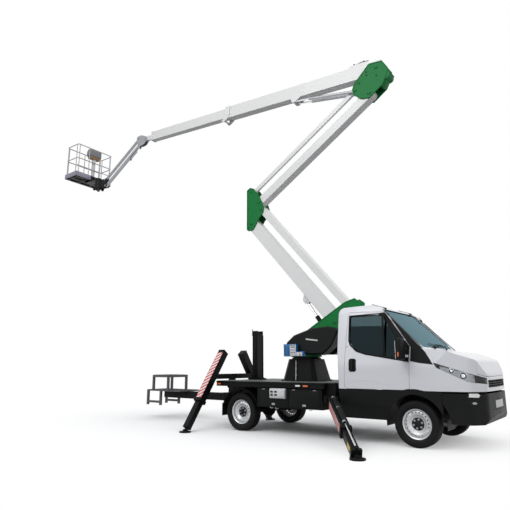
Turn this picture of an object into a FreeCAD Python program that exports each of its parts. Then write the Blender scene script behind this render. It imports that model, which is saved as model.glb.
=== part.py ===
import FreeCAD, Part
import math
import os

V = FreeCAD.Vector

# Truck lengths in millimetres. X points forward from the front axle, Y to the left, Z up from the ground.
wheelbase = 3450.0
track = 1700.0
tyre_diameter = 700.0
tyre_width = 225.0
rim_diameter = 440.0
overrun = 40.0
seat_gap = 0.3
pin_play = 0.05
moving_gap = 8.0
corner_room_share = 0.47
straight_angle = 1.56

# Cab body
cab_rear_x = -1300.0
cab_length = 2330.0
cab_bottom_z = 380.0
cab_height = 1880.0
cab_width = 2000.0
cab_wall = 48.0
bulkhead_thickness = 40.0
cab_mount_size = 70.0
cab_mount_shares = [0.12, 0.5]
firewall_x = 60.0
shut_gap = 6.0
roof_corner_radius = 90.0
cladding_top_share = 0.25
cladding_top_z = cab_bottom_z + cladding_top_share * cab_height
cab_floor_thickness = 30.0
cab_floor_z = cladding_top_z + cab_floor_thickness
arch_radius = 440.0
wheelhouse_radius = 500.0
flare_width = 85.0
glass_thickness = 6.0
glass_inset = 14.0

# Chassis
rail_spread = 860.0
rail_depth = 160.0
rail_width = 65.0
rail_wall = 8.0
rail_bottom_z = 500.0
rail_front_x = 800.0
rail_behind_axle = 850.0
rail_rear_x = -wheelbase - rail_behind_axle
member_width = 80.0

# Deck behind the cab
deck_front_x = -1420.0
deck_behind_axle = 590.0
deck_rear_x = -wheelbase - deck_behind_axle
deck_width = 2000.0
deck_top_z = 930.0
deck_thickness = 30.0
deck_edge_height = 70.0
deck_edge_width = 60.0
deck_notch_length = 150.0
deck_notch_width = 130.0
subframe_width = 70.0
locker_bottom_z = 470.0
locker_depth = 420.0
locker_front_x = -1620.0
mudguard_radius = 450.0
mudguard_thickness = 10.0

# Front and rear supports
support_beam_width = 140.0
front_support_x = -1400.0
front_support_z = 660.0
front_support_clearance = 50.0
front_support_y = cab_width / 2 + front_support_clearance
front_pad_x = -340.0
front_pad_y = 2340.0
front_leg_tube = 150.0
front_leg_share = 0.62
rear_support_behind_axle = 680.0
rear_support_x = -wheelbase - rear_support_behind_axle
rear_leg_top_z = 1500.0
rear_leg_run = 1070.0
rear_right_pad_y = -1770.0
rear_left_pad_y = 1020.0
rear_leg_tube = 150.0
rear_leg_share = 0.66
foot_tube = 110.0
tube_wall = 8.0
pad_radius = 110.0
pad_thickness = 22.0

# Mast: slewing turret, two parallelogram arms, telescopic boom, jib
slew_x = -2500.0
slew_z = 1400.0
pedestal_base_length = 800.0
pedestal_base_width = 700.0
pedestal_top_length = 580.0
pedestal_top_width = 560.0
slew_ring_radius = 270.0
slew_ring_height = 40.0
arm_width = 200.0
plate_gap = 8.0
plate_thickness = 12.0
arm_wall = 8.0

lower_arm_angle = 49.0
lower_arm_length = 3140.0
lower_arm_depth = 270.0
lower_tie_depth = 140.0
lower_pin_x = -1770.0
lower_pin_z = 2070.0
lower_tie_dx = 270.0
lower_tie_dz = 300.0

upper_arm_angle = 32.3
upper_arm_length = 3335.0
upper_arm_depth = 190.0
upper_tie_depth = 90.0
upper_tie_width = 60.0
upper_pin_dx = 210.0
upper_pin_dz = 480.0
upper_tie_dx = -210.0
upper_tie_dz = 300.0

boom_pin_dx = 180.0
boom_pin_dz = 520.0
boom_angle = 4.5
boom_depth = 300.0
boom_length = 4050.0
boom_root = 100.0
extension_depth = 252.0
extension_width = 164.0
extension_tip = 6950.0
extension_overlap = 900.0
tip_pin_reach = 7250.0

jib_pin_dx = -270.0
jib_pin_dz = -110.0
jib_length = 1800.0
jib_angle = -32.0
jib_depth = 80.0
jib_width = 70.0
jib_tie_depth = 50.0
jib_tie_dx = -36.0
jib_tie_dz = 207.0

basket_turn_dx = -434.0
basket_front_gap = 270.0
basket_depth = 620.0
basket_length = 1300.0
basket_height = 1090.0
basket_tube = 36.0
basket_toe_height = 150.0
basket_sheet = 6.0
basket_floor_rise = 334.0

pin_radius = 30.0
small_pin_radius = 20.0
lug_size_share = 2.5


def box(x0, x1, y0, y1, z0, z1):
    return Part.makeBox(x1 - x0, y1 - y0, z1 - z0, V(x0, y0, z0))


def cylinder(point, direction, radius, length):
    return Part.makeCylinder(radius, length, point, direction)


def cross_pin(x, z, radius, half_width):
    return cylinder(V(x, -half_width, z), V(0, 1, 0), radius, half_width * 2)


def soft_face(points, radii):
    # Closed outline with each corner rounded, as far as its two edges leave room.
    count = len(points)
    edges = []
    ends = []
    for i in range(count):
        here = points[i]
        back = points[i - 1] - here
        ahead = points[(i + 1) % count] - here
        room = min(back.Length, ahead.Length) * corner_room_share
        back.normalize()
        ahead.normalize()
        half = back.getAngle(ahead) / 2
        run = min(radii[i] / math.tan(half), room)
        if run < pin_play or half > straight_angle:
            ends.append((here, here, None))
            continue
        radius = run * math.tan(half)
        middle = (back + ahead).normalize()
        reach = radius / math.sin(half) - radius
        ends.append((here + back * run, here + ahead * run, here + middle * reach))
    for i in range(count):
        start, finish, crown = ends[i]
        if crown:
            edges.append(Part.Arc(start, crown, finish).toShape())
        following = ends[(i + 1) % count][0]
        edges.append(Part.LineSegment(finish, following).toShape())
    return Part.Face(Part.Wire(edges))


def even(points, radius):
    return soft_face(points, [radius] * len(points))


def side_points(shares, x0, z0, length, height):
    return [V(x0 + sx * length, 0, z0 + sz * height) for sx, sz in shares]


def side_prism(face, y0, y1):
    moved = face.copy()
    moved.translate(V(0, y0, 0))
    return moved.extrude(V(0, y1 - y0, 0))


def mirrored(shape):
    return shape.mirror(V(0, 0, 0), V(0, 1, 0))


def both_sides(shape):
    return [shape, mirrored(shape)]


def joined(shapes):
    solid = shapes[0].multiFuse(shapes[1:])
    return solid.removeSplitter()


def heading(angle):
    # Unit vector towards the rear of the truck, raised by the angle.
    turn = math.radians(angle)
    return V(-math.cos(turn), 0, math.sin(turn))


def across(angle):
    # Unit vector at right angles to the heading, on its upper side.
    turn = math.radians(angle)
    return V(math.sin(turn), 0, math.cos(turn))


def bar(start, finish, depth, width, round_ends):
    # Straight bar between two pins in a vertical plane, with round or square ends.
    line = (finish - start).normalize()
    side = V(-line.z, 0, line.x) * (depth / 2)
    corners = [start + side, finish + side, finish - side, start - side]
    shape = side_prism(even(corners, 0), -width / 2, width / 2)
    if round_ends:
        ends = [cross_pin(p.x, p.z, depth / 2, width / 2) for p in (start, finish)]
        shape = joined([shape] + ends)
    return shape


def drilled(shape, pins):
    for point, radius in pins:
        bore = cross_pin(point.x, point.z, radius + pin_play, arm_width)
        shape = shape.cut(bore)
    return shape


# Cab outline: shares of its length and height, from its lower rear corner
cab_side_shares = [
    (0.0, 0.0), (0.0, 0.985), (0.26, 1.0), (0.325, 0.974), (0.636, 0.59),
    (0.80, 0.562), (0.945, 0.497), (0.988, 0.385), (1.0, 0.25), (1.0, 0.07), (0.965, 0.0),
]
cab_side_radius_shares = [0.0, 0.055, 0.16, 0.05, 0.03, 0.25, 0.06, 0.08, 0.04, 0.03, 0.02]
cab_front_shares = [
    (0.475, 0.0), (0.496, 0.12), (0.5, 0.45), (0.425, 0.93), (0.395, 1.0),
    (-0.395, 1.0), (-0.425, 0.93), (-0.5, 0.45), (-0.496, 0.12), (-0.475, 0.0),
]
cab_front_radius_shares = [0.01, 0.1, 0.3, 0.02, 0.05, 0.05, 0.02, 0.3, 0.1, 0.01]
cab_plan_shares = [
    (0.0, 0.5), (0.70, 0.5), (0.90, 0.46), (0.985, 0.33), (1.0, 0.0),
    (0.985, -0.33), (0.90, -0.46), (0.70, -0.5), (0.0, -0.5),
]
cab_plan_radius_shares = [0.03, 0.2, 0.12, 0.12, 0.8, 0.12, 0.12, 0.2, 0.03]
door_shares = [
    (0.0515, 0.25), (0.536, 0.25), (0.543, 0.473), (0.552, 0.612), (0.374, 0.925), (0.077, 0.94),
]
door_radius_shares = [0.04, 0.02, 0.1, 0.03, 0.03, 0.03]
door_window_shares = [
    (0.096, 0.66), (0.150, 0.585), (0.225, 0.555), (0.515, 0.492),
    (0.525, 0.585), (0.352, 0.9), (0.094, 0.905),
]
door_window_radius_shares = [0.03, 0.02, 0.1, 0.015, 0.02, 0.02, 0.025]
windscreen_bottom_share = 0.605
windscreen_top_share = 0.955
windscreen_bottom_half_share = 0.44
windscreen_top_half_share = 0.375
bonnet_shares = [(0.645, 0.50), (0.925, 0.395), (1.03, 0.345), (1.03, 0.7), (0.645, 0.7)]
bonnet_half_share = 0.39
hinge_radius = 9.0
hinge_length = 80.0
bonnet_hinge_share = 0.26
door_hinge_shares = [0.30, 0.42]
lamp_shares = [(0.70, 0.478), (0.925, 0.385), (1.03, 0.335), (1.03, 0.30), (0.90, 0.325), (0.72, 0.435)]
lamp_inner_half_share = 0.30
grille_half_share = 0.28
grille_bottom_share = 0.28
grille_top_share = 0.34
bumper_rear_share = 0.742
bumper_top_share = 0.235
bumper_lip_share = 0.93


def cab_faces():
    side = side_points(cab_side_shares, cab_rear_x, cab_bottom_z, cab_length, cab_height)
    side_radii = [s * cab_height for s in cab_side_radius_shares]
    front = [V(0, sy * cab_width, cab_bottom_z + sz * cab_height) for sy, sz in cab_front_shares]
    front_radii = [s * cab_height for s in cab_front_radius_shares]
    plan = [V(cab_rear_x + sx * cab_length, sy * cab_width, 0) for sx, sy in cab_plan_shares]
    plan_radii = [s * cab_width for s in cab_plan_radius_shares]
    return [soft_face(side, side_radii), soft_face(front, front_radii), soft_face(plan, plan_radii)]


def cab_body(inset):
    faces = cab_faces()
    if inset > 0:
        faces = [face.makeOffset2D(-inset) for face in faces]
    side = side_prism(faces[0], -cab_width, cab_width)
    faces[1].translate(V(cab_rear_x - cab_length, 0, 0))
    front = faces[1].extrude(V(cab_length * 3, 0, 0))
    plan = faces[2].extrude(V(0, 0, cab_height * 2))
    return side.common(front).common(plan)


def cab_side_prism(shares, radius_shares, y0, y1, shrink):
    points = side_points(shares, cab_rear_x, cab_bottom_z, cab_length, cab_height)
    face = soft_face(points, [s * cab_height for s in radius_shares])
    if shrink:
        face = face.makeOffset2D(-shrink)
    return side_prism(face, y0, y1)


def cab_x(share):
    return cab_rear_x + share * cab_length


def cab_z(share):
    return cab_bottom_z + share * cab_height


def windscreen_prism(shrink):
    bottom = cab_z(windscreen_bottom_share)
    top = cab_z(windscreen_top_share)
    low = windscreen_bottom_half_share * cab_width
    high = windscreen_top_half_share * cab_width
    points = [V(0, -low, bottom), V(0, low, bottom), V(0, high, top), V(0, -high, top)]
    face = even(points, roof_corner_radius)
    if shrink:
        face = face.makeOffset2D(-shrink)
    face.translate(V(cab_x(cab_side_shares[3][0]) - cab_wall, 0, 0))
    return face.extrude(V(cab_length, 0, 0))


def rear_window_prism(shrink):
    half = cab_width * rear_window_half_share
    points = [V(cab_rear_x - overrun, -half, cab_z(rear_window_low_share))]
    points.append(V(cab_rear_x - overrun, half, cab_z(rear_window_low_share)))
    points.append(V(cab_rear_x - overrun, half, cab_z(rear_window_high_share)))
    points.append(V(cab_rear_x - overrun, -half, cab_z(rear_window_high_share)))
    face = even(points, roof_corner_radius)
    if shrink:
        face = face.makeOffset2D(-shrink)
    return face.extrude(V(cab_wall + overrun * 2, 0, 0))


rear_window_half_share = 0.27
rear_window_low_share = 0.64
rear_window_high_share = 0.86

cab_outer = cab_body(0)
cab_inner = cab_body(cab_wall)
cab_skin = cab_outer.cut(cab_inner)
half_cab = cab_width / 2
wheel_z = tyre_diameter / 2


def wheelhouses(radius, inner_y, outer_y):
    return [
        cylinder(V(0, side * inner_y, wheel_z), V(0, side, 0), radius, outer_y - inner_y) for side in (-1, 1)
    ]


def make_cab_shell():
    floor_low = cladding_top_z + seat_gap
    rear = box(cab_rear_x, firewall_x, -half_cab, half_cab, floor_low, cab_floor_z)
    rear = rear.common(cab_outer)
    bulkhead = box(
        firewall_x, firewall_x + bulkhead_thickness, -half_cab, half_cab, floor_low,
        cab_z(windscreen_bottom_share),
    )
    bulkhead = bulkhead.common(cab_outer)
    shell = joined([cab_skin, rear, bulkhead])
    shell = shell.cut(box(cab_rear_x - overrun, cab_x(1) + overrun, -cab_width, cab_width, 0, floor_low))
    low_nose = box(
        cab_x(bumper_rear_share), cab_x(1) + overrun, -cab_width, cab_width, 0,
        cab_z(bumper_top_share) + shut_gap,
    )
    shell = shell.cut(low_nose)
    door = cab_side_prism(door_shares, door_radius_shares, -cab_width, -half_cab + cab_wall * 4, 0)
    for cutter in both_sides(door):
        shell = shell.cut(cutter)
    shell = shell.cut(windscreen_prism(0))
    shell = shell.cut(rear_window_prism(0))
    shell = shell.cut(bonnet_prism(0))
    for barrel in bonnet_hinges(pin_play) + door_hinges(-1, pin_play) + door_hinges(1, pin_play):
        shell = shell.cut(barrel)
    for cutter in lamp_cutters(0):
        shell = shell.cut(cutter)
    shell = shell.cut(grille_box(0))
    for cutter in wheelhouses(arch_radius + flare_width, rail_spread / 2, cab_width):
        shell = shell.cut(cutter)
    return shell


def lamp_cutters(shrink):
    points = side_points(lamp_shares, cab_rear_x, cab_bottom_z, cab_length, cab_height)
    face = even(points, 0)
    if shrink:
        face = face.makeOffset2D(-shrink)
    prism = side_prism(face, -cab_width, -cab_width * lamp_inner_half_share - shrink)
    return both_sides(prism)


def grille_box(shrink):
    half = grille_half_share * cab_width - shrink
    low = cab_z(grille_bottom_share) + shrink
    high = cab_z(grille_top_share) - shrink
    return box(cab_x(1) - cab_length / 4, cab_x(1) + overrun, -half, half, low, high)


def make_cab_glass():
    sheet = cab_body(glass_inset).cut(cab_body(glass_inset + glass_thickness))
    front = sheet.common(windscreen_prism(seat_gap))
    back = sheet.common(rear_window_prism(seat_gap))
    return [front, back]


def make_door():
    skin = cab_skin
    prism = cab_side_prism(door_shares, door_radius_shares, -cab_width, -half_cab + cab_wall * 4, shut_gap)
    window = cab_side_prism(door_window_shares, door_window_radius_shares, -cab_width, 0, 0)
    panel = skin.common(prism).cut(window)
    for arch in wheelhouses(arch_radius + flare_width + shut_gap, rail_spread / 2, cab_width):
        panel = panel.cut(arch)
    return joined([panel, make_mirror()] + door_hinges(-1, 0))


def make_door_glass():
    sheet = cab_body(glass_inset).cut(cab_body(glass_inset + glass_thickness))
    window = cab_side_prism(door_window_shares, door_window_radius_shares, -cab_width, 0, seat_gap)
    return sheet.common(window)


mirror_x_share = 0.493
mirror_arm_share = 0.523
mirror_low_share = 0.50
mirror_height = 330.0
mirror_width = 190.0
mirror_depth = 95.0
mirror_reach = 60.0
mirror_arm = 38.0
mirror_corner_share = 1 / 3


def make_mirror():
    x = cab_x(mirror_x_share)
    low = cab_z(mirror_low_share)
    inner = -half_cab - mirror_reach
    head = box(x, x + mirror_depth, inner - mirror_width, inner, low, low + mirror_height)
    head = head.makeFillet(mirror_depth * mirror_corner_share, head.Edges)
    arm_low = low + mirror_arm
    arm_x = cab_x(mirror_arm_share)
    arm = box(
        arm_x, arm_x + mirror_arm, inner - mirror_arm, -half_cab + cab_wall, arm_low, arm_low + mirror_arm,
    )
    return joined([head, arm])


def bonnet_prism(shrink):
    points = side_points(bonnet_shares, cab_rear_x, cab_bottom_z, cab_length, cab_height)
    face = even(points, 0)
    if shrink:
        face = face.makeOffset2D(-shrink)
    half = cab_width * bonnet_half_share - shrink
    return side_prism(face, -half, half)


def bonnet_hinge_point():
    # The bonnet turns about a line on its own rear edge, level with the skin.
    x = cab_x(bonnet_shares[0][0]) + shut_gap / 2
    rise = (cab_side_shares[5][1] - cab_side_shares[4][1]) / (cab_side_shares[5][0] - cab_side_shares[4][0])
    share = cab_side_shares[4][1] + rise * (bonnet_shares[0][0] - cab_side_shares[4][0])
    return V(x, 0, cab_z(share))


def bonnet_hinges(play):
    point = bonnet_hinge_point()
    barrels = []
    for side in (-1, 1):
        y = side * cab_width * bonnet_hinge_share - hinge_length / 2
        barrels.append(
            cylinder(V(point.x, y - play, point.z), V(0, 1, 0), hinge_radius + play, hinge_length + play * 2)
        )
    return barrels


def door_hinge_point(side):
    return V(cab_x(door_shares[1][0]) - shut_gap / 2, side * half_cab, 0)


def door_hinges(side, play):
    point = door_hinge_point(side)
    barrels = []
    for share in door_hinge_shares:
        low = V(point.x, point.y, cab_z(share) - play)
        barrels.append(cylinder(low, V(0, 0, 1), hinge_radius + play, hinge_length + play * 2))
    return barrels


def make_bonnet():
    return joined([cab_skin.common(bonnet_prism(shut_gap))] + bonnet_hinges(0))


def make_headlamps():
    lamps = []
    for prism in lamp_cutters(seat_gap):
        lamps.append(cab_skin.common(prism))
    return lamps


grille_slats = 3


def make_bumper():
    block = box(
        cab_x(bumper_rear_share), cab_x(1) + overrun, -cab_width, cab_width, 0, cab_z(bumper_top_share),
    )
    skin = cab_skin.common(block)
    for cutter in wheelhouses(wheelhouse_radius, rail_spread / 2, half_cab - cab_wall):
        skin = skin.cut(cutter)
    for cutter in wheelhouses(arch_radius + flare_width + shut_gap, rail_spread / 2, cab_width):
        skin = skin.cut(cutter)
    half = half_cab - cab_wall * 4
    lip_rear = cab_x(bumper_lip_share)
    skin = skin.cut(box(cab_rear_x, lip_rear, -half, half, 0, cab_bottom_z + cab_wall + seat_gap))
    arms = []
    for side in (-1, 1):
        y0, y1 = sorted((side * rail_spread / 2, side * (rail_spread / 2 - rail_width)))
        low = rail_bottom_z + rail_wall * 2
        high = rail_bottom_z + rail_depth - rail_wall * 2
        arms.append(box(rail_front_x + seat_gap, cab_x(1) - cab_wall, y0, y1, low, high))
    return joined([skin] + arms)


def make_grille():
    zone = grille_box(seat_gap)
    frame = cab_skin.common(zone)
    height = zone.BoundBox.ZLength
    pitch = height / (grille_slats * 2 + 1)
    for i in range(grille_slats):
        low = zone.BoundBox.ZMin + pitch * (i * 2 + 1)
        half = zone.BoundBox.YMax - pitch
        frame = frame.cut(box(zone.BoundBox.XMin, zone.BoundBox.XMax, -half, half, low, low + pitch))
    return frame


def make_cladding():
    block = box(cab_rear_x - overrun, cab_x(1), -cab_width, cab_width, 0, cladding_top_z)
    lower = cab_skin.common(block)
    ring = cylinder(V(0, -half_cab, wheel_z), V(0, 1, 0), arch_radius + flare_width, cab_width)
    ring = ring.cut(cylinder(V(0, -half_cab, wheel_z), V(0, 1, 0), arch_radius, cab_width))
    flare = cab_skin.common(ring)
    flare = flare.cut(
        box(cab_rear_x, cab_x(1), -half_cab + cab_wall * 2, half_cab - cab_wall * 2, 0, cab_height * 2)
    )
    shape = lower.cut(cylinder(V(0, -half_cab, wheel_z), V(0, 1, 0), arch_radius, cab_width))
    shape = shape.fuse(flare)
    shape = shape.cut(
        box(
            cab_rear_x - overrun, cab_x(1), -half_cab + cab_wall * 2, half_cab - cab_wall * 2, 0,
            cab_height * 2,
        )
    )
    behind = box(
        cab_rear_x - overrun, cab_x(bumper_rear_share) - shut_gap, -cab_width, cab_width, 0, cab_height,
    )
    return shape.common(behind).removeSplitter()


seat_width = 480.0
seat_depth = 460.0
seat_height = 330.0
seat_back_height = 640.0
seat_back_thickness = 120.0
seat_rear_x = -1200.0
seat_centre_y = 450.0


def make_seats():
    shapes = []
    for side in (-1, 1):
        left = side * seat_centre_y - seat_width / 2
        right = side * seat_centre_y + seat_width / 2
        base = box(seat_rear_x, seat_rear_x + seat_depth, left, right, cab_floor_z, cab_floor_z + seat_height)
        back_top = cab_floor_z + seat_height + seat_back_height
        back = box(seat_rear_x, seat_rear_x + seat_back_thickness, left, right, cab_floor_z, back_top)
        shapes.append(joined([base, back]))
    return shapes


dash_depth = 330.0
dash_height = 330.0
dash_below_glass = 77.4
dash_top_z = cab_z(windscreen_bottom_share) - dash_below_glass
column_angle = 62.0
column_radius = 25.0
column_length = 190.0
column_seat = 60.0
steering_wheel_radius = 200.0
steering_wheel_rim = 14.0
steering_y = 450.0
dash_shares = [(0.0, 0.35), (0.15, 0.9), (0.4, 1.0), (1.0, 1.0), (1.0, 0.0), (0.3, 0.0)]
column_start = V(firewall_x - dash_depth, steering_y, dash_top_z - dash_height / 2)
column_way = V(-math.sin(math.radians(column_angle)), 0, math.cos(math.radians(column_angle)))


def make_dashboard():
    rear = firewall_x - dash_depth
    points = side_points(dash_shares, rear, dash_top_z - dash_height, dash_depth, dash_height)
    half = half_cab - cab_wall * 3
    dash = side_prism(even(points, cab_wall / 2), -half, half)
    bore = cylinder(
        column_start - column_way * column_seat, column_way, column_radius + pin_play, column_length,
    )
    return dash.cut(bore)


def make_steering_wheel():
    hub_centre = column_start + column_way * column_length
    ring = Part.makeTorus(steering_wheel_radius, steering_wheel_rim, hub_centre, column_way)
    stem_start = column_start - column_way * (column_seat - moving_gap)
    stem = cylinder(stem_start, column_way, column_radius, column_length + column_seat)
    spokes = [stem]
    for turn in (0, 120, 240):
        arm = box(
            0, steering_wheel_radius, -column_radius, column_radius, -steering_wheel_rim / 2,
            steering_wheel_rim / 2,
        )
        arm.rotate(V(0, 0, 0), V(0, 0, 1), turn)
        arm.rotate(V(0, 0, 0), V(0, 1, 0), -column_angle)
        arm.translate(hub_centre)
        spokes.append(arm)
    return joined([ring] + spokes)


# Chassis frame, engine and axles
engine_length = 550.0
engine_width = 480.0
engine_height = 560.0
engine_bottom_z = 420.0
gearbox_radius = 100.0
gearbox_length = 640.0
kingpin_y = 640.0
axle_depth = 110.0
axle_width = 120.0
ear_thickness = 26.0
ear_gap = 130.0
kingpin_radius = 18.0
stub_radius = 32.0
hub_radius = 95.0
hub_inset = 30.0
rear_axle_radius = 55.0
differential_radius = 150.0
propshaft_radius = 30.0
spring_width = 70.0
spring_thickness = 45.0
spring_length = 1180.0
spring_stack_share = 1.5
spring_y = 500.0
member_shares = [0.02, 0.2, 0.38, 0.54, 0.985]


def member_x(share):
    return rail_rear_x + share * (rail_front_x - rail_rear_x)


def make_chassis():
    shapes = []
    for side in (-1, 1):
        outer = side * rail_spread / 2
        inner = outer - side * rail_width
        low, high = sorted((outer, inner))
        rail = box(rail_rear_x, rail_front_x, low, high, rail_bottom_z, rail_bottom_z + rail_depth)
        web_low, web_high = sorted((outer - side * rail_wall, inner - side * rail_wall))
        hollow_low = rail_bottom_z + rail_wall
        hollow_top = rail_bottom_z + rail_depth - rail_wall
        hollow = box(rail_rear_x - overrun, rail_front_x + overrun, web_low, web_high, hollow_low, hollow_top)
        shapes.append(rail.cut(hollow))
    for share in member_shares:
        x = member_x(share)
        half = rail_spread / 2 - rail_wall / 2
        low = rail_bottom_z + rail_wall
        member = box(
            x - member_width / 2, x + member_width / 2, -half, half, low, rail_bottom_z + rail_depth / 2,
        )
        shapes.append(member)
    for share in cab_mount_shares:
        for side in (-1, 1):
            x = cab_x(share)
            y0, y1 = sorted((side * rail_spread / 2, side * (rail_spread / 2 - rail_width)))
            top = cladding_top_z
            shapes.append(box(x, x + cab_mount_size, y0, y1, rail_bottom_z + rail_depth - rail_wall, top))
    return joined(shapes)


def gearbox_rear():
    front = member_x(member_shares[-1]) - member_width / 2 - seat_gap
    return front - engine_length - gearbox_length


def make_engine():
    half = engine_width / 2
    rear = gearbox_rear() + gearbox_length
    block = box(rear, rear + engine_length, -half, half, engine_bottom_z, engine_bottom_z + engine_height)
    centre = V(gearbox_rear(), 0, engine_bottom_z + gearbox_radius)
    gearbox = cylinder(centre, V(1, 0, 0), gearbox_radius, gearbox_length + overrun)
    return joined([block, gearbox])


def make_front_axle():
    half = kingpin_y - axle_width
    low = wheel_z - axle_depth / 2
    beam = box(-axle_width / 2, axle_width / 2, -half, half, low, low + axle_depth)
    shapes = [beam]
    for side in (-1, 1):
        for level in (-1, 1):
            z = wheel_z + level * (ear_gap / 2 + ear_thickness / 2)
            ear = cylinder(
                V(0, side * kingpin_y, z - ear_thickness / 2), V(0, 0, 1), axle_width / 2, ear_thickness,
            )
            y0, y1 = sorted((side * (half - axle_width / 2), side * kingpin_y))
            arm = box(-axle_width / 2, axle_width / 2, y0, y1, z - ear_thickness / 2, z + ear_thickness / 2)
            shapes.append(ear)
            shapes.append(arm)
        y0, y1 = sorted((side * (half - axle_width / 2), side * half))
        height = ear_gap / 2 + ear_thickness
        shapes.append(box(-axle_width / 2, axle_width / 2, y0, y1, wheel_z - height, wheel_z + height))
        shapes.append(
            cylinder(V(0, side * kingpin_y, wheel_z - height), V(0, 0, 1), kingpin_radius, height * 2)
        )
        post_y = side * (rail_spread / 2 - rail_width / 2)
        post = box(
            -axle_width / 2, axle_width / 2, post_y - rail_width / 2, post_y + rail_width / 2, low,
            rail_bottom_z,
        )
        shapes.append(post)
    return joined(shapes)


def make_knuckle():
    height = ear_gap - moving_gap / 2
    low = wheel_z - height / 2
    boss = cylinder(V(0, -kingpin_y, low), V(0, 0, 1), axle_width / 2 - moving_gap, height)
    inner_face = track / 2 - hub_inset
    stub = cylinder(V(0, -kingpin_y, wheel_z), V(0, -1, 0), stub_radius, track / 2 + hub_inset - kingpin_y)
    flange = cylinder(
        V(0, -kingpin_y - axle_width / 2, wheel_z), V(0, -1, 0), hub_radius,
        inner_face - kingpin_y - axle_width / 2 - seat_gap,
    )
    shape = joined([boss, stub, flange])
    return shape.cut(cylinder(V(0, -kingpin_y, 0), V(0, 0, 1), kingpin_radius + pin_play, tyre_diameter))


def make_rear_axle():
    half = track / 2 - hub_inset - seat_gap
    tube = cylinder(V(-wheelbase, -half, wheel_z), V(0, 1, 0), rear_axle_radius, half * 2)
    stub = cylinder(
        V(-wheelbase, -track / 2 - hub_inset, wheel_z), V(0, 1, 0), stub_radius, track + hub_inset * 2,
    )
    diff = Part.makeSphere(differential_radius, V(-wheelbase, 0, wheel_z))
    shaft_rear = V(-wheelbase, 0, wheel_z)
    shaft_way = V(gearbox_rear() - moving_gap, 0, engine_bottom_z + gearbox_radius) - shaft_rear
    shaft = cylinder(shaft_rear, shaft_way, propshaft_radius, shaft_way.Length)
    shapes = [tube, stub, diff, shaft]
    for side in (-1, 1):
        y = side * spring_y
        flange = cylinder(V(-wheelbase, side * half, wheel_z), V(0, -side, 0), hub_radius, hub_inset)
        top = wheel_z + rear_axle_radius + spring_thickness
        low = top - spring_thickness * spring_stack_share
        spring_rear = -wheelbase - spring_length / 2
        spring = box(
            spring_rear, spring_rear + spring_length, y - spring_width / 2, y + spring_width / 2, low, top,
        )
        shapes.append(flange)
        shapes.append(spring)
        for end in (-1, 1):
            x = -wheelbase + end * (spring_length / 2 - spring_width / 2)
            y0, y1 = sorted((y + side * spring_width / 2, side * (rail_spread / 2)))
            hanger_top = rail_bottom_z + rail_depth / 2
            hanger = box(
                x - spring_width / 2, x + spring_width / 2, y0, y1, top - spring_thickness, hanger_top,
            )
            shapes.append(hanger)
    return joined(shapes)


tyre_shoulder_share = 0.86
tyre_bead_share = 0.68
rim_wall = 9.0
rim_slots = 12
rim_slot_radius = 16.0
rim_slot_circle_share = 0.80
rim_dish = 60.0
rim_disc_wall = 10.0


def revolve_about_y(points):
    wire = Part.makePolygon(points + [points[0]])
    return Part.Face(wire).revolve(V(0, 0, 0), V(0, 1, 0), 360)


def make_tyre(x, side):
    radius = tyre_diameter / 2
    bead = rim_diameter / 2
    half = tyre_width / 2
    shoulder = half * tyre_shoulder_share
    seat = half * tyre_bead_share
    mid = (radius + bead) / 2
    near = radius - (half - shoulder)
    points = [V(0, -shoulder, radius), V(0, -half, near), V(0, -half, mid), V(0, -seat, bead)]
    points += [V(0, seat, bead), V(0, half, mid), V(0, half, near), V(0, shoulder, radius)]
    tyre = revolve_about_y(points)
    tyre.translate(V(x, side * track / 2, wheel_z))
    return tyre


def make_rim(x, side):
    bead = rim_diameter / 2
    half = tyre_width / 2 * tyre_bead_share
    inner = bead - rim_wall
    barrel = [V(0, -half, bead), V(0, half, bead), V(0, half, inner), V(0, -half, inner)]
    ring = revolve_about_y(barrel)
    hub = hub_radius
    face = hub_inset
    disc = [
        V(0, -face, stub_radius + pin_play), V(0, -face, hub), V(0, -rim_dish, hub + rim_dish),
        V(0, -rim_dish, inner + rim_wall / 2),
    ]
    disc += [
        V(0, -rim_dish + rim_disc_wall, inner + rim_wall / 2),
        V(0, -rim_dish + rim_disc_wall, hub + rim_dish),
    ]
    disc += [V(0, face, hub), V(0, face, stub_radius + pin_play)]
    plate = revolve_about_y(disc)
    rim = joined([ring, plate])
    circle = bead * rim_slot_circle_share
    for i in range(rim_slots):
        turn = math.radians(i * 360 / rim_slots)
        spot = V(math.sin(turn) * circle, -half, math.cos(turn) * circle)
        rim = rim.cut(cylinder(spot, V(0, 1, 0), rim_slot_radius, tyre_width))
    if side > 0:
        rim = mirrored(rim)
    rim.translate(V(x, side * track / 2, wheel_z))
    return rim


# Deck, lockers and the fixed pieces that stand on it
rest_from_deck_end = 310.0
rest_x = deck_rear_x + rest_from_deck_end
rest_width = 210.0
rest_depth = 120.0
rest_top_z = 1900.0
rest_base = 320.0
rest_horn = 70.0


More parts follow.
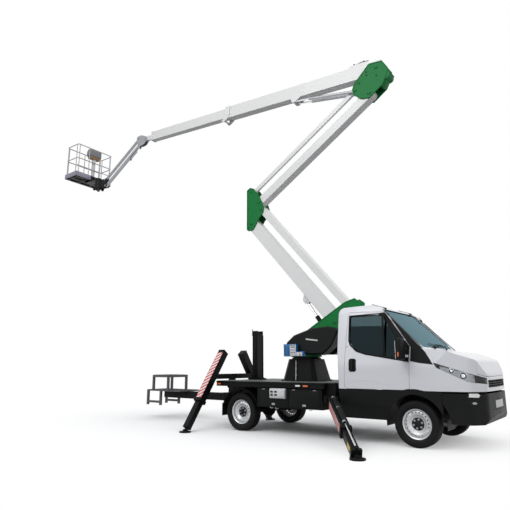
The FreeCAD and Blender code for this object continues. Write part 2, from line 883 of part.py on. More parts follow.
def make_deck():
    half = deck_width / 2
    low = deck_top_z - deck_thickness
    plate = box(deck_rear_x, deck_front_x, -half, half, low, deck_top_z)
    shapes = [plate]
    edge_low = low - deck_edge_height
    for side in (-1, 1):
        y0, y1 = sorted((side * (half - deck_edge_width), side * half))
        shapes.append(box(deck_rear_x, deck_front_x, y0, y1, edge_low, low))
        outer = side * rail_spread / 2
        y0, y1 = sorted((outer, outer - side * subframe_width))
        shapes.append(box(deck_rear_x, deck_front_x, y0, y1, rail_bottom_z + rail_depth, low))
    for end in (deck_rear_x, deck_front_x - deck_edge_width):
        shapes.append(box(end, end + deck_edge_width, -half, half, edge_low, low))
    beam_x = front_support_x - support_beam_width / 2
    beam_half = front_support_y - support_beam_width - leg_head / 2
    beam_low = rail_bottom_z + rail_depth
    shapes.append(
        box(
            beam_x - support_beam_width, beam_x + support_beam_width / 2, -beam_half, beam_half, beam_low,
            low,
        )
    )
    shape = joined(shapes)
    for side in (-1, 1):
        y0, y1 = sorted((side * (half - deck_notch_width), side * (half + overrun)))
        x0 = deck_front_x - deck_notch_length
        shape = shape.cut(box(x0, deck_front_x + overrun, y0, y1, edge_low - overrun, deck_top_z + overrun))
    return joined([shape, front_bracket(-1), front_bracket(1)])


def make_lockers():
    half = deck_width / 2
    top = deck_top_z - deck_thickness - deck_edge_height
    rear = -wheelbase + mudguard_radius - mudguard_thickness * 2
    body = box(
        rear, locker_front_x, -half + overrun / 2, -half + overrun / 2 + locker_depth, locker_bottom_z, top,
    )
    body = body.makeFillet(
        overrun / 2,
        [e for e in body.Edges if e.BoundBox.YLength < seat_gap and e.BoundBox.XLength > locker_depth],
    )
    depth = locker_depth - overrun
    guard = cylinder(V(-wheelbase, -half + overrun / 2, wheel_z), V(0, 1, 0), mudguard_radius, depth)
    guard = guard.cut(
        cylinder(V(-wheelbase, -half, wheel_z), V(0, 1, 0), mudguard_radius - mudguard_thickness, half)
    )
    guard = guard.common(
        box(
            -wheelbase - mudguard_radius, -wheelbase + mudguard_radius, -half, 0, wheel_z + overrun * 3,
            cab_height,
        )
    )
    return both_sides(joined([body, guard]))


def make_boom_rest():
    half = rest_width / 2
    post = box(rest_x - rest_depth / 2, rest_x + rest_depth / 2, -half, half, deck_top_z, rest_top_z)
    foot = box(
        rest_x - rest_base / 2, rest_x + rest_base / 2, -half, half, deck_top_z, deck_top_z + deck_thickness,
    )
    horns = []
    for side in (-1, 1):
        y0, y1 = sorted((side * half, side * (half - deck_thickness)))
        horns.append(
            box(rest_x - rest_depth / 2, rest_x + rest_depth / 2, y0, y1, rest_top_z, rest_top_z + rest_horn)
        )
    return joined([post, foot] + horns)


step_rear_x = -6910.0
step_plate_front_x = -5770.0
step_plate_z = 650.0
step_table_z = 1000.0
step_table_rear_x = -6730.0
step_table_front_x = -6170.0
step_foot_z = 300.0
step_foot_front_x = -6410.0
step_half_width = 330.0
step_tube = 50.0
step_beam_depth = 150.0
step_beam_half = 60.0


def make_rear_step():
    shapes = []
    tube = step_tube
    plate = box(
        step_rear_x, step_plate_front_x, -step_half_width, step_half_width, step_plate_z - tube / 2,
        step_plate_z,
    )
    shapes.append(plate)
    half = step_half_width
    for side in (-1, 1):
        y0, y1 = sorted((side * half, side * (half - tube)))
        for x in (step_table_rear_x, step_table_front_x - tube):
            shapes.append(box(x, x + tube, y0, y1, step_plate_z - tube / 2, step_table_z - tube / 2))
        for x in (step_rear_x, step_foot_front_x - tube):
            shapes.append(box(x, x + tube, y0, y1, step_foot_z, step_plate_z))
        shapes.append(box(step_table_rear_x, step_table_front_x, y0, y1, step_table_z - tube, step_table_z))
        shapes.append(box(step_rear_x, step_foot_front_x, y0, y1, step_foot_z + tube, step_foot_z + tube * 2))
    for x in (step_table_rear_x, step_table_front_x - tube):
        shapes.append(box(x, x + tube, -half, half, step_table_z - tube, step_table_z))
    beam_top = step_plate_z - tube / 2
    half_beam = step_beam_half
    beam = box(
        step_rear_x + step_half_width, rail_rear_x, -half_beam, half_beam, beam_top - step_beam_depth,
        beam_top,
    )
    head = box(
        rail_rear_x - tube, rail_rear_x, -rail_spread / 2, rail_spread / 2, rail_bottom_z,
        rail_bottom_z + rail_depth,
    )
    shapes.append(beam)
    shapes.append(head)
    return joined(shapes)


def loft_block(x, z0, z1, length0, width0, length1, width1):
    rings = []
    for z, length, width in ((z0, length0, width0), (z1, length1, width1)):
        a = length / 2
        b = width / 2
        corner = min(a, b) / 4
        points = [
            V(x - a, -b + corner, z), V(x - a + corner, -b, z), V(x + a - corner, -b, z),
            V(x + a, -b + corner, z),
        ]
        points += [
            V(x + a, b - corner, z), V(x + a - corner, b, z), V(x - a + corner, b, z),
            V(x - a, b - corner, z),
        ]
        rings.append(Part.makePolygon(points + [points[0]]))
    return Part.makeLoft(rings, True, True)


def make_pedestal():
    top = slew_z - slew_ring_height - seat_gap
    body = loft_block(
        slew_x, deck_top_z, top, pedestal_base_length, pedestal_base_width, pedestal_top_length,
        pedestal_top_width,
    )
    ring = cylinder(V(slew_x, 0, top), V(0, 0, 1), slew_ring_radius, slew_ring_height)
    return joined([body, ring])


# Front support legs, built along X, then pitched and turned into place
front_run_x = front_pad_x - front_support_x
front_run_y = front_pad_y - front_support_y
front_level_run = math.hypot(front_run_x, front_run_y)
front_drop = front_support_z - pad_thickness
front_leg_length = math.hypot(front_level_run, front_drop)
front_pitch = math.degrees(math.atan2(front_drop, front_level_run))
front_azimuth = math.degrees(math.atan2(front_run_y, front_run_x))
bracket_ear = 20.0
leg_head = 60.0
ram_radius = 24.0
ram_rod_radius = 13.0
ram_lift = 26.0
foot_neck = 60.0
neck_radius = 32.0
neck_recess_share = 1.5
bracket_neck_out_share = 1.4
bracket_neck_length_share = 1.8
foot_overlap_share = 0.5
foot_travel = 450.0


def aimed(shape, side):
    moved = shape.copy()
    moved.rotate(V(0, 0, 0), V(0, 1, 0), front_pitch)
    moved.rotate(V(0, 0, 0), V(0, 0, 1), -front_azimuth)
    moved.translate(V(front_support_x, -front_support_y, front_support_z))
    if side > 0:
        moved = mirrored(moved)
    return moved


def front_bracket(side):
    half = front_leg_tube / 2 + moving_gap
    shapes = []
    reach = front_leg_tube / 2 + leg_head
    for edge in (-1, 1):
        y0, y1 = sorted((edge * half, edge * (half + bracket_ear)))
        shapes.append(box(-reach - leg_head, leg_head, y0, y1, -leg_head, leg_head))
    shapes.append(box(-reach - leg_head, -reach, -half, half, -leg_head, leg_head))
    shapes.append(cylinder(V(0, -half, 0), V(0, 1, 0), small_pin_radius, half * 2))
    moved = joined(shapes)
    moved.rotate(V(0, 0, 0), V(0, 0, 1), -front_azimuth)
    moved.translate(V(front_support_x, -front_support_y, front_support_z))
    neck_rear = front_support_x - support_beam_width
    neck_outer = -front_support_y + leg_head * bracket_neck_out_share
    neck_front = neck_rear + leg_head * bracket_neck_length_share
    neck_low = front_support_z - leg_head
    neck = box(neck_rear, neck_front, neck_outer, neck_outer + reach, neck_low, neck_low + leg_head * 2)
    shape = joined([moved, neck])
    if side > 0:
        shape = mirrored(shape)
    return shape


def tube_along_x(x0, x1, size, wall):
    half = size / 2
    outer = box(x0, x1, -half, half, -half, half)
    if wall:
        inner = half - wall
        outer = outer.cut(box(x0 - overrun, x1 + overrun, -inner, inner, -inner, inner))
    return outer


def make_front_leg(side):
    half = front_leg_tube / 2
    head = leg_head - moving_gap
    split = front_leg_length * front_leg_share
    eye = cylinder(V(0, -half, 0), V(0, 1, 0), head, half * 2)
    block = box(0, leg_head * 2, -half, half, -head, head)
    tube = tube_along_x(leg_head * 2 - overrun / 2, split, front_leg_tube, tube_wall * 2)
    ram = cylinder(V(leg_head * 2, 0, half + ram_lift), V(1, 0, 0), ram_radius, split - leg_head * 4)
    saddle = box(leg_head * 2, leg_head * 3, -ram_radius, ram_radius, half - tube_wall, half + ram_lift)
    shape = joined([eye, block, tube, ram, saddle])
    shape = shape.cut(
        cylinder(V(0, -front_leg_tube, 0), V(0, 1, 0), small_pin_radius + pin_play, front_leg_tube * 2)
    )
    bore = cylinder(
        V(leg_head * 3, 0, half + ram_lift), V(1, 0, 0), ram_rod_radius + seat_gap, front_leg_length,
    )
    shape = shape.cut(bore)
    return aimed(shape, side)


def below_ground(x, y):
    reach = pad_radius * 2
    return box(x - reach, x + reach, y - reach, y + reach, -pad_radius, 0)


def make_front_foot(side):
    split = front_leg_length * front_leg_share
    bore = front_leg_tube - tube_wall * 4 - seat_gap * 2
    start = split - (split - leg_head * 2) * foot_overlap_share
    tube = tube_along_x(start, front_leg_length - foot_neck, bore, 0)
    half = front_leg_tube / 2
    collar = tube_along_x(front_leg_length - foot_neck * 2, front_leg_length - foot_neck, bore + overrun, 0)
    rod_start = leg_head * 3 + foot_travel + moving_gap
    rod_end = front_leg_length - foot_neck * 2 + overrun / 2
    rod = cylinder(V(rod_start, 0, half + ram_lift), V(1, 0, 0), ram_rod_radius, rod_end - rod_start)
    lug_start = front_leg_length - foot_neck * 2
    lug_top = half + ram_lift + ram_rod_radius
    lug = box(lug_start, lug_start + foot_neck, -ram_rod_radius, ram_rod_radius, 0, lug_top)
    neck = cylinder(V(front_leg_length - foot_neck, 0, 0), V(1, 0, 0), neck_radius, foot_neck)
    ball = Part.makeSphere(neck_radius, V(front_leg_length, 0, 0))
    shape = aimed(joined([tube, collar, rod, lug, neck, ball]), -1)
    pad = cylinder(V(front_pad_x, -front_pad_y, 0), V(0, 0, 1), pad_radius, pad_thickness + neck_radius / 2)
    pad_top = V(front_pad_x, -front_pad_y, pad_thickness)
    recess = cylinder(pad_top, V(0, 0, 1), pad_radius, neck_radius)
    recess = recess.cut(cylinder(pad_top, V(0, 0, 1), neck_radius * neck_recess_share, neck_radius))
    pad = pad.cut(recess)
    shape = joined([shape, pad])
    shape = shape.cut(below_ground(front_pad_x, -front_pad_y))
    if side > 0:
        shape = mirrored(shape)
    return shape


rear_leg_length = math.hypot(rear_leg_run, rear_leg_top_z - pad_thickness)
rear_leg_slope = math.degrees(math.atan2(rear_leg_top_z - pad_thickness, rear_leg_run))


def rear_aimed(shape, side, pad_y):
    # Local X runs from the leg's top down to its pad.
    moved = shape.copy()
    moved.rotate(V(0, 0, 0), V(0, 1, 0), rear_leg_slope)
    moved.rotate(V(0, 0, 0), V(0, 0, 1), side * 90)
    moved.translate(V(rear_support_x, pad_y - side * rear_leg_run, rear_leg_top_z))
    return moved


rear_beam_low_z = 960.0
rear_beam_depth = 100.0


def make_rear_supports():
    shapes = []
    for side, pad_y in ((-1, rear_right_pad_y), (1, rear_left_pad_y)):
        tube = tube_along_x(0, rear_leg_length * rear_leg_share, rear_leg_tube, tube_wall * 2)
        cap = box(0, tube_wall, -rear_leg_tube / 2, rear_leg_tube / 2, -rear_leg_tube / 2, rear_leg_tube / 2)
        shapes.append(rear_aimed(joined([tube, cap]), side, pad_y))
    level = (rear_leg_top_z - rear_beam_low_z - rear_beam_depth / 2) / rear_leg_top_z
    right = rear_right_pad_y + rear_leg_run * (1 - level)
    left = rear_left_pad_y - rear_leg_run * (1 - level)
    half = support_beam_width / 2
    beam = box(
        rear_support_x - half, rear_support_x + half, right, left, rear_beam_low_z,
        rear_beam_low_z + rear_beam_depth,
    )
    cavity = []
    for side, pad_y in ((-1, rear_right_pad_y), (1, rear_left_pad_y)):
        inner = rear_leg_tube - tube_wall * 4
        cavity.append(rear_aimed(tube_along_x(tube_wall, rear_leg_length, inner, 0), side, pad_y))
    shapes.append(beam)
    for side in (-1, 1):
        y = side * (rail_spread / 2 - subframe_width / 2)
        y0 = y - subframe_width / 2
        rail_top = rail_bottom_z + rail_depth
        post = box(
            rear_support_x - half, rear_support_x + half, y0, y0 + subframe_width, rail_top, rear_beam_low_z,
        )
        shapes.append(post)
    shape = joined(shapes)
    for hollow in cavity:
        shape = shape.cut(hollow)
    return shape


def make_rear_foot(side, pad_y):
    bore = rear_leg_tube - tube_wall * 4 - seat_gap * 2
    split = rear_leg_length * rear_leg_share
    tube = tube_along_x(split * (1 - foot_overlap_share), rear_leg_length - foot_neck, bore, 0)
    neck = cylinder(V(rear_leg_length - foot_neck, 0, 0), V(1, 0, 0), neck_radius, foot_neck)
    ball = Part.makeSphere(neck_radius, V(rear_leg_length, 0, 0))
    shape = rear_aimed(joined([tube, neck, ball]), side, pad_y)
    pad = cylinder(V(rear_support_x, pad_y, 0), V(0, 0, 1), pad_radius, pad_thickness)
    shape = joined([shape, pad])
    return shape.cut(below_ground(rear_support_x, pad_y))


# Mast pins
lower_pin = V(lower_pin_x, 0, lower_pin_z)
lower_tie_pin = lower_pin + V(lower_tie_dx, 0, lower_tie_dz)
lower_top = lower_pin + heading(lower_arm_angle) * lower_arm_length
lower_tie_top = lower_top + V(lower_tie_dx, 0, lower_tie_dz)
upper_pin = lower_top + V(upper_pin_dx, 0, upper_pin_dz)
upper_tie_pin = upper_pin + V(upper_tie_dx, 0, upper_tie_dz)
upper_way = V(-heading(upper_arm_angle).x, 0, heading(upper_arm_angle).z)
upper_top = upper_pin + upper_way * upper_arm_length
upper_tie_top = upper_top + V(upper_tie_dx, 0, upper_tie_dz)
boom_pin = upper_top + V(boom_pin_dx, 0, boom_pin_dz)
boom_way = heading(boom_angle)
boom_up = across(boom_angle)
tip_pin = boom_pin + boom_way * tip_pin_reach
jib_pin = tip_pin + V(jib_pin_dx, 0, jib_pin_dz)
jib_tie_pin = jib_pin + V(jib_tie_dx, 0, jib_tie_dz)
jib_end = jib_pin + heading(jib_angle) * jib_length
jib_tie_end = jib_end + V(jib_tie_dx, 0, jib_tie_dz)
basket_axis_x = jib_end.x + basket_turn_dx
plate_inner = arm_width / 2 + plate_gap
plate_outer = plate_inner + plate_thickness

# Lower lift cylinder and boom cylinders
lower_lug_along = 808.0
lower_lug_drop = 213.0
lower_ram_dx = -160.0
lower_ram_dz = -290.0
lower_ram_radius = 45.0
lower_ram_rod = 26.0
lower_ram_barrel_share = 0.56
lower_ram_return = 270.0
boom_lug_along = 2000.0
boom_lug_drop = 212.0
boom_ram_dx = -300.0
boom_ram_dz = 160.0
boom_ram_radius = 32.0
boom_ram_rod = 19.0
boom_ram_y = 70.0
boom_ram_barrel_share = 0.74
boom_ram_return = 45.0
lower_ram_base = lower_pin + V(lower_ram_dx, 0, lower_ram_dz)
lower_lug = lower_pin + heading(lower_arm_angle) * lower_lug_along - across(lower_arm_angle) * lower_lug_drop
boom_ram_base = upper_top + V(boom_ram_dx, 0, boom_ram_dz)
boom_lug = boom_pin + boom_way * boom_lug_along - boom_up * boom_lug_drop
eye_width = 36.0
cheek_thickness = 20.0
cheek_play = 10.0
boom_cheek = 10.0
boom_cheek_play = 5.0


def plate_pair(shares, x0, z0, length, height, radius, inner, thickness):
    face = even(side_points(shares, x0, z0, length, height), radius)
    return both_sides(side_prism(face, -inner - thickness, -inner))


turret_x0 = -2680.0
turret_length = 1455.0
turret_height = 1060.0
turret_shares = [
    (0.0, 0.0), (0.385, 0.0), (0.715, 0.34), (0.914, 0.746), (0.993, 0.811),
    (1.0, 0.925), (0.928, 1.0), (0.783, 0.943), (0.261, 0.519), (0.0, 0.302),
]
turret_radius = 22.0


def make_turret():
    base_top = slew_z + slew_ring_height
    base = cylinder(V(slew_x, 0, slew_z), V(0, 0, 1), slew_ring_radius + overrun, slew_ring_height)
    plates = plate_pair(
        turret_shares, turret_x0, base_top, turret_length, turret_height, turret_radius, plate_inner,
        plate_thickness,
    )
    front = side_points(turret_shares, turret_x0, base_top, turret_length, turret_height)
    webs = []
    for first, second in ((1, 2), (2, 3)):
        start = front[first]
        finish = front[second]
        line = (finish - start).normalize()
        lift = V(-line.z, 0, line.x) * plate_thickness
        corners = [start, finish, finish + lift, start + lift]
        webs.append(side_prism(even(corners, 0), -plate_outer, plate_outer))
    floor = box(
        turret_x0, front[1].x, -plate_outer, plate_outer, base_top - plate_thickness / 2,
        base_top + plate_thickness,
    )
    pins = [cross_pin(lower_pin.x, lower_pin.z, pin_radius, plate_outer)]
    pins.append(cross_pin(lower_tie_pin.x, lower_tie_pin.z, small_pin_radius, plate_outer))
    pins.append(cross_pin(lower_ram_base.x, lower_ram_base.z, small_pin_radius, plate_outer))
    return joined([base, floor] + plates + webs + pins)


cover_x0 = -2750.0
cover_length = 1180.0
cover_z0 = 1445.0
cover_height = 520.0
cover_half = 370.0
cover_shares = [
    (0.0, 0.0), (0.70, 0.0), (0.86, 0.28), (1.0, 0.85), (0.80, 1.0), (0.50, 0.96), (0.15, 0.72), (0.0, 0.45),
]
cover_radius = 40.0
hood_share = 0.055
hood_height_share = 0.4


def make_turret_cover():
    points = side_points(cover_shares, cover_x0, cover_z0, cover_length, cover_height)
    pod = side_prism(even(points, cover_radius), -cover_half, -plate_outer)
    rim = [e for e in pod.Edges if e.BoundBox.YMax < -cover_half + seat_gap]
    pod = pod.makeChamfer(cover_radius / 2, rim)
    hood_half = plate_outer + overrun
    hood_low = cover_z0 + cover_radius
    hood_top = cover_z0 + cover_height * hood_height_share
    hood = box(cover_x0, cover_x0 + cover_length * hood_share, -hood_half, hood_half, hood_low, hood_top)
    return joined([pod, mirrored(pod), hood])


control_x0 = -2740.0
control_length = 430.0
control_depth = 150.0
control_height = 190.0
control_y = -470.0


def make_control_box():
    low = cover_z0 - overrun
    body = box(control_x0, control_x0 + control_length, control_y, -cover_half, low, low + control_height)
    return body.makeFillet(overrun / 4, body.Edges)


def hollow_bar(start, finish, depth, width, wall):
    line = (finish - start).normalize()
    solid = bar(start, finish, depth, width, True)
    inner = bar(start + line * depth, finish - line * depth, depth - wall * 2, width - wall * 2, False)
    return solid.cut(inner)


def make_lower_arm():
    beam = hollow_bar(lower_pin, lower_top, lower_arm_depth, arm_width, arm_wall)
    way = heading(lower_arm_angle)
    up = across(lower_arm_angle)
    shapes = [beam]
    root = lower_pin + way * lower_lug_along - up * (lower_arm_depth / 2 - arm_wall / 2)
    for side in (-1, 1):
        inner = side * (eye_width / 2 + cheek_play)
        outer = inner + side * cheek_thickness
        y0, y1 = sorted((inner, outer))
        size = small_pin_radius * lug_size_share
        points = [root + way * (size * 3), lower_lug + way * size - up * size]
        points += [lower_lug - way * size - up * size, root - way * (size * 2)]
        face = soft_face(points, [0, size, size, 0])
        shapes.append(side_prism(face, y0, y1))
        y0, y1 = sorted((outer, outer + side * overrun / 4))
        stub = cylinder(V(lower_lug.x, y0, lower_lug.z), V(0, 1, 0), small_pin_radius, y1 - y0)
        shapes.append(stub)
    arm = joined(shapes)
    return drilled(arm, [(lower_pin, pin_radius), (lower_top, pin_radius)])


def make_lower_tie():
    beam = hollow_bar(lower_tie_pin, lower_tie_top, lower_tie_depth, arm_width, arm_wall)
    return drilled(beam, [(lower_tie_pin, small_pin_radius), (lower_tie_top, small_pin_radius)])


lower_knuckle_x0 = -130.0
lower_knuckle_z0 = -180.0
lower_knuckle_length = 490.0
lower_knuckle_height = 1060.0
lower_knuckle_shares = [
    (0.0, 0.04), (0.0, 0.95), (0.20, 1.0), (0.42, 0.955), (0.735, 0.75), (0.90, 0.60),
    (1.0, 0.46), (0.94, 0.36), (0.69, 0.22), (0.37, 0.02), (0.12, 0.0),
]


def make_lower_knuckle():
    x0 = lower_top.x + lower_knuckle_x0
    z0 = lower_top.z + lower_knuckle_z0
    plates = plate_pair(
        lower_knuckle_shares, x0, z0, lower_knuckle_length, lower_knuckle_height, turret_radius, plate_inner,
        plate_thickness,
    )
    web_low = lower_top.z + lower_arm_depth / 2 + moving_gap * 2
    web_high = z0 + lower_knuckle_height * lower_knuckle_shares[1][1] - overrun
    web = box(x0, x0 + plate_thickness, -plate_inner, plate_inner, web_low, web_high)
    pins = []
    for point, radius in (
        (lower_top, pin_radius), (lower_tie_top, small_pin_radius), (upper_pin, pin_radius),
        (upper_tie_pin, small_pin_radius),
    ):
        pins.append(cross_pin(point.x, point.z, radius, plate_outer))
    return joined(plates + [web] + pins)


def make_upper_arm():
    beam = hollow_bar(upper_pin, upper_top, upper_arm_depth, arm_width, arm_wall)
    return drilled(beam, [(upper_pin, pin_radius), (upper_top, pin_radius)])


def make_upper_tie():
    beam = bar(upper_tie_pin, upper_tie_top, upper_tie_depth, upper_tie_width, True)
    return drilled(beam, [(upper_tie_pin, small_pin_radius), (upper_tie_top, small_pin_radius)])


upper_knuckle_x0 = -370.0
upper_knuckle_z0 = -130.0
upper_knuckle_length = 800.0
upper_knuckle_height = 780.0
upper_knuckle_shares = [
    (0.0, 0.40), (0.06, 0.22), (0.24, 0.06), (0.47, 0.0), (0.84, 0.26), (0.98, 0.52),
    (1.0, 0.70), (0.86, 0.95), (0.50, 1.0), (0.34, 0.84), (0.06, 0.56),
]
hump_radius = 80.0
hump_dx = 375.0
hump_dz = 260.0


def make_upper_knuckle():
    x0 = upper_top.x + upper_knuckle_x0
    z0 = upper_top.z + upper_knuckle_z0
    plates = plate_pair(
        upper_knuckle_shares, x0, z0, upper_knuckle_length, upper_knuckle_height, turret_radius, plate_inner,
        plate_thickness,
    )
    hump = cross_pin(upper_top.x + hump_dx, upper_top.z + hump_dz, hump_radius, plate_outer)
    hump = hump.cut(
        cross_pin(upper_top.x + hump_dx, upper_top.z + hump_dz, hump_radius - plate_thickness, plate_inner)
    )
    pins = []
    for point, radius in ((upper_top, pin_radius), (upper_tie_top, small_pin_radius), (boom_pin, pin_radius)):
        pins.append(cross_pin(point.x, point.z, radius, plate_outer))
    inner = boom_ram_y - eye_width / 2
    stub = cylinder(
        V(boom_ram_base.x, inner, boom_ram_base.z), V(0, 1, 0), small_pin_radius, plate_outer - inner,
    )
    pins += both_sides(stub)
    return joined(plates + [hump] + pins)


def boom_section(along0, along1, depth, width):
    start = boom_pin + boom_way * along0
    finish = boom_pin + boom_way * along1
    return bar(start, finish, depth, width, False)


def make_boom():
    body = boom_section(-boom_root, boom_length, boom_depth, arm_width)
    cavity = boom_section(
        boom_root * 2, boom_length + overrun, boom_depth - arm_wall * 2, arm_width - arm_wall * 2,
    )
    body = body.cut(cavity)
    collar = boom_section(
        boom_length - boom_root, boom_length, boom_depth + overrun / 2, arm_width + overrun / 2,
    )
    collar = collar.cut(
        boom_section(0, boom_length + overrun, extension_depth + seat_gap * 2, extension_width + seat_gap * 2)
    )
    shapes = [body, collar]
    root = boom_lug + boom_up * (boom_lug_drop - boom_depth / 2 + arm_wall / 2)
    size = small_pin_radius * 2
    points = [
        root + boom_way * (size * 2), boom_lug + boom_way * size - boom_up * size,
        boom_lug - boom_way * size - boom_up * size, root - boom_way * (size * 5),
    ]
    face = soft_face(points, [0, size, size, 0])
    inner = boom_ram_y - eye_width / 2 - boom_cheek_play
    outer = boom_ram_y + eye_width / 2 + boom_cheek_play
    shapes += both_sides(side_prism(face, -inner, -inner + boom_cheek))
    shapes += both_sides(side_prism(face, -outer - boom_cheek, -outer))
    return drilled(joined(shapes), [(boom_pin, pin_radius)])


def make_extension():
    start = boom_length - extension_overlap
    body = boom_section(start, extension_tip, extension_depth, extension_width)
    cavity = boom_section(
        start - overrun, extension_tip - boom_root, extension_depth - arm_wall * 2,
        extension_width - arm_wall * 2,
    )
    body = body.cut(cavity)
    guide = boom_section(
        start, start + boom_root, boom_depth - arm_wall * 2 - seat_gap * 2,
        arm_width - arm_wall * 2 - seat_gap * 2,
    )
    guide = guide.cut(
        boom_section(
            start - overrun, start + boom_root + overrun, extension_depth - arm_wall * 2,
            extension_width - arm_wall * 2,
        )
    )
    head_start = boom_pin + boom_way * (extension_tip - overrun)
    tongue = bar(head_start, tip_pin, tip_depth, tip_width, False)
    end = cross_pin(tip_pin.x, tip_pin.z, tip_depth / 2, tip_width / 2)
    shape = joined([body, guide, tongue, end])
    return drilled(shape, [(tip_pin, small_pin_radius)])


tip_depth = 130.0
tip_width = 76.0
tip_plate = 12.0
tip_shares = [
    (0.0, 0.45), (0.0, 0.93), (0.14, 1.0), (0.45, 1.0), (0.94, 0.68), (1.0, 0.40), (0.74, 0.04), (0.55, 0.0),
    (0.25, 0.0),
]
tip_margin = 62.0
tip_front_share = 1.3


def make_tip_head():
    half = tip_width / 2 + plate_gap
    x0 = jib_tie_pin.x - tip_margin
    x1 = tip_pin.x + tip_margin * tip_front_share
    z0 = jib_pin.z - tip_margin
    z1 = jib_tie_pin.z + tip_margin
    plates = plate_pair(tip_shares, x0, z0, x1 - x0, z1 - z0, tip_margin / 4, half, tip_plate)
    pins = []
    for point in (tip_pin, jib_pin, jib_tie_pin):
        pins.append(cross_pin(point.x, point.z, small_pin_radius, half + tip_plate))
    return joined(plates + pins)


def make_jib():
    beam = bar(jib_pin, jib_end, jib_depth, jib_width, True)
    return drilled(beam, [(jib_pin, small_pin_radius), (jib_end, small_pin_radius)])


def make_jib_tie():
    beam = bar(jib_tie_pin, jib_tie_end, jib_tie_depth, jib_width, True)
    return drilled(beam, [(jib_tie_pin, small_pin_radius), (jib_tie_end, small_pin_radius)])


rotator_radius = 75.0
rotator_height = 300.0
basket_bottom_z = jib_end.z + basket_floor_rise
basket_arm_thickness = 40.0
basket_arm_half = 110.0


def make_jib_head():
    half = tip_width / 2 + plate_gap
    top = basket_bottom_z - basket_arm_thickness - seat_gap
    rotator = cylinder(V(basket_axis_x, 0, top - rotator_height), V(0, 0, 1), rotator_radius, rotator_height)
    points = [V(basket_axis_x, 0, top - rotator_height), V(jib_end.x + tip_margin, 0, jib_end.z - tip_margin)]
    points.append(V(jib_tie_end.x + tip_margin, 0, jib_tie_end.z + tip_margin / 2))
    points.append(V(jib_tie_end.x - tip_margin, 0, jib_tie_end.z + tip_margin / 2))
    points.append(V(basket_axis_x, 0, top - overrun))
    face = even(points, 0)
    plates = both_sides(side_prism(face, -half - tip_plate, -half))
    pins = [cross_pin(p.x, p.z, small_pin_radius, half + tip_plate) for p in (jib_end, jib_tie_end)]
    spread = cylinder(
        V(basket_axis_x, 0, top - rotator_height), V(0, 0, 1), half + tip_plate + overrun, rotator_height,
    )
    return joined([rotator.fuse(spread)] + plates + pins)


basket_near_x = basket_axis_x - basket_front_gap
basket_far_x = basket_near_x - basket_depth
basket_top_z = basket_bottom_z + basket_height
basket_mid_share = 0.56
console_post = 90.0
console_width = 420.0
console_depth = 220.0
console_height = 240.0
console_drop = 260.0


def tube_between(start, finish, size):
    half = size / 2
    low = V(min(start.x, finish.x) - half, min(start.y, finish.y) - half, min(start.z, finish.z) - half)
    high = V(max(start.x, finish.x) + half, max(start.y, finish.y) + half, max(start.z, finish.z) + half)
    return box(low.x, high.x, low.y, high.y, low.z, high.z)


def make_basket():
    tube = basket_tube
    half = basket_length / 2 - tube / 2
    near = basket_near_x - tube / 2
    far = basket_far_x + tube / 2
    shapes = []
    floor = box(
        basket_far_x, basket_near_x, -basket_length / 2, basket_length / 2, basket_bottom_z,
        basket_bottom_z + basket_tube,
    )
    shapes.append(floor)
    toe_top = basket_bottom_z + basket_toe_height
    rim = box(basket_far_x, basket_near_x, -basket_length / 2, basket_length / 2, basket_bottom_z, toe_top)
    inset = basket_sheet
    rim = rim.cut(
        box(
            basket_far_x + inset, basket_near_x - inset, -basket_length / 2 + inset,
            basket_length / 2 - inset, basket_bottom_z, toe_top + overrun,
        )
    )
    shapes.append(rim)
    top = basket_top_z - tube / 2
    mid = basket_bottom_z + basket_height * basket_mid_share
    for x in (near, far):
        for y in (-half, 0, half):
            shapes.append(tube_between(V(x, y, basket_bottom_z + tube), V(x, y, top), tube))
        for z in (mid, top):
            shapes.append(tube_between(V(x, -half, z), V(x, half, z), tube))
    for y in (-half, half):
        for z in (mid, top):
            shapes.append(tube_between(V(near, y, z), V(far, y, z), tube))
    arm_low = basket_bottom_z - basket_arm_thickness
    arm = box(
        basket_near_x - basket_depth / 2, basket_axis_x, -basket_arm_half, basket_arm_half, arm_low,
        basket_bottom_z,
    )
    flange = cylinder(V(basket_axis_x, 0, arm_low), V(0, 0, 1), basket_arm_half, basket_arm_thickness)
    shapes += [arm, flange]
    post_x = basket_near_x - tube - console_post
    post = box(
        post_x, post_x + console_post, -console_post / 2, console_post / 2, basket_bottom_z + tube / 2,
        basket_top_z - console_drop,
    )
    low = basket_top_z - console_drop
    half = console_width / 2
    console = box(
        post_x - console_depth / 2, post_x + console_depth / 2, -half, half, low, low + console_height,
    )
    shapes += [post, console]
    return joined(shapes)


def ram_parts(base, lug, radius, rod_radius, barrel_share, rod_return, y):
    # Barrel with its base eye, and rod with its eye, between two pins.
    line = lug - base
    length = line.Length
    way = line.normalize()
    eye = small_pin_radius + overrun / 2
    start = base + way * eye
    low = V(0, y, 0)
    barrel_length = length * barrel_share - eye
    barrel = cylinder(start + low, way, radius, barrel_length)
    base_eye = cylinder(V(base.x, y - eye_width / 2, base.z), V(0, 1, 0), eye + overrun / 8, eye_width)
    barrel = joined([barrel, base_eye])
    barrel = barrel.cut(
        cylinder(V(base.x, y - arm_width, base.z), V(0, 1, 0), small_pin_radius + pin_play, arm_width * 2)
    )
    rod_start = base + way * (eye * 2)
    barrel = barrel.cut(cylinder(rod_start + low, way, rod_radius + seat_gap, length))
    rod_back = eye * 2 + rod_return + moving_gap
    rod = cylinder(base + way * rod_back + low, way, rod_radius, length - rod_back - small_pin_radius)
    end_eye = cylinder(
        V(lug.x, y - eye_width / 2, lug.z), V(0, 1, 0), small_pin_radius + overrun / 8, eye_width,
    )
    return barrel, joined([rod, end_eye])


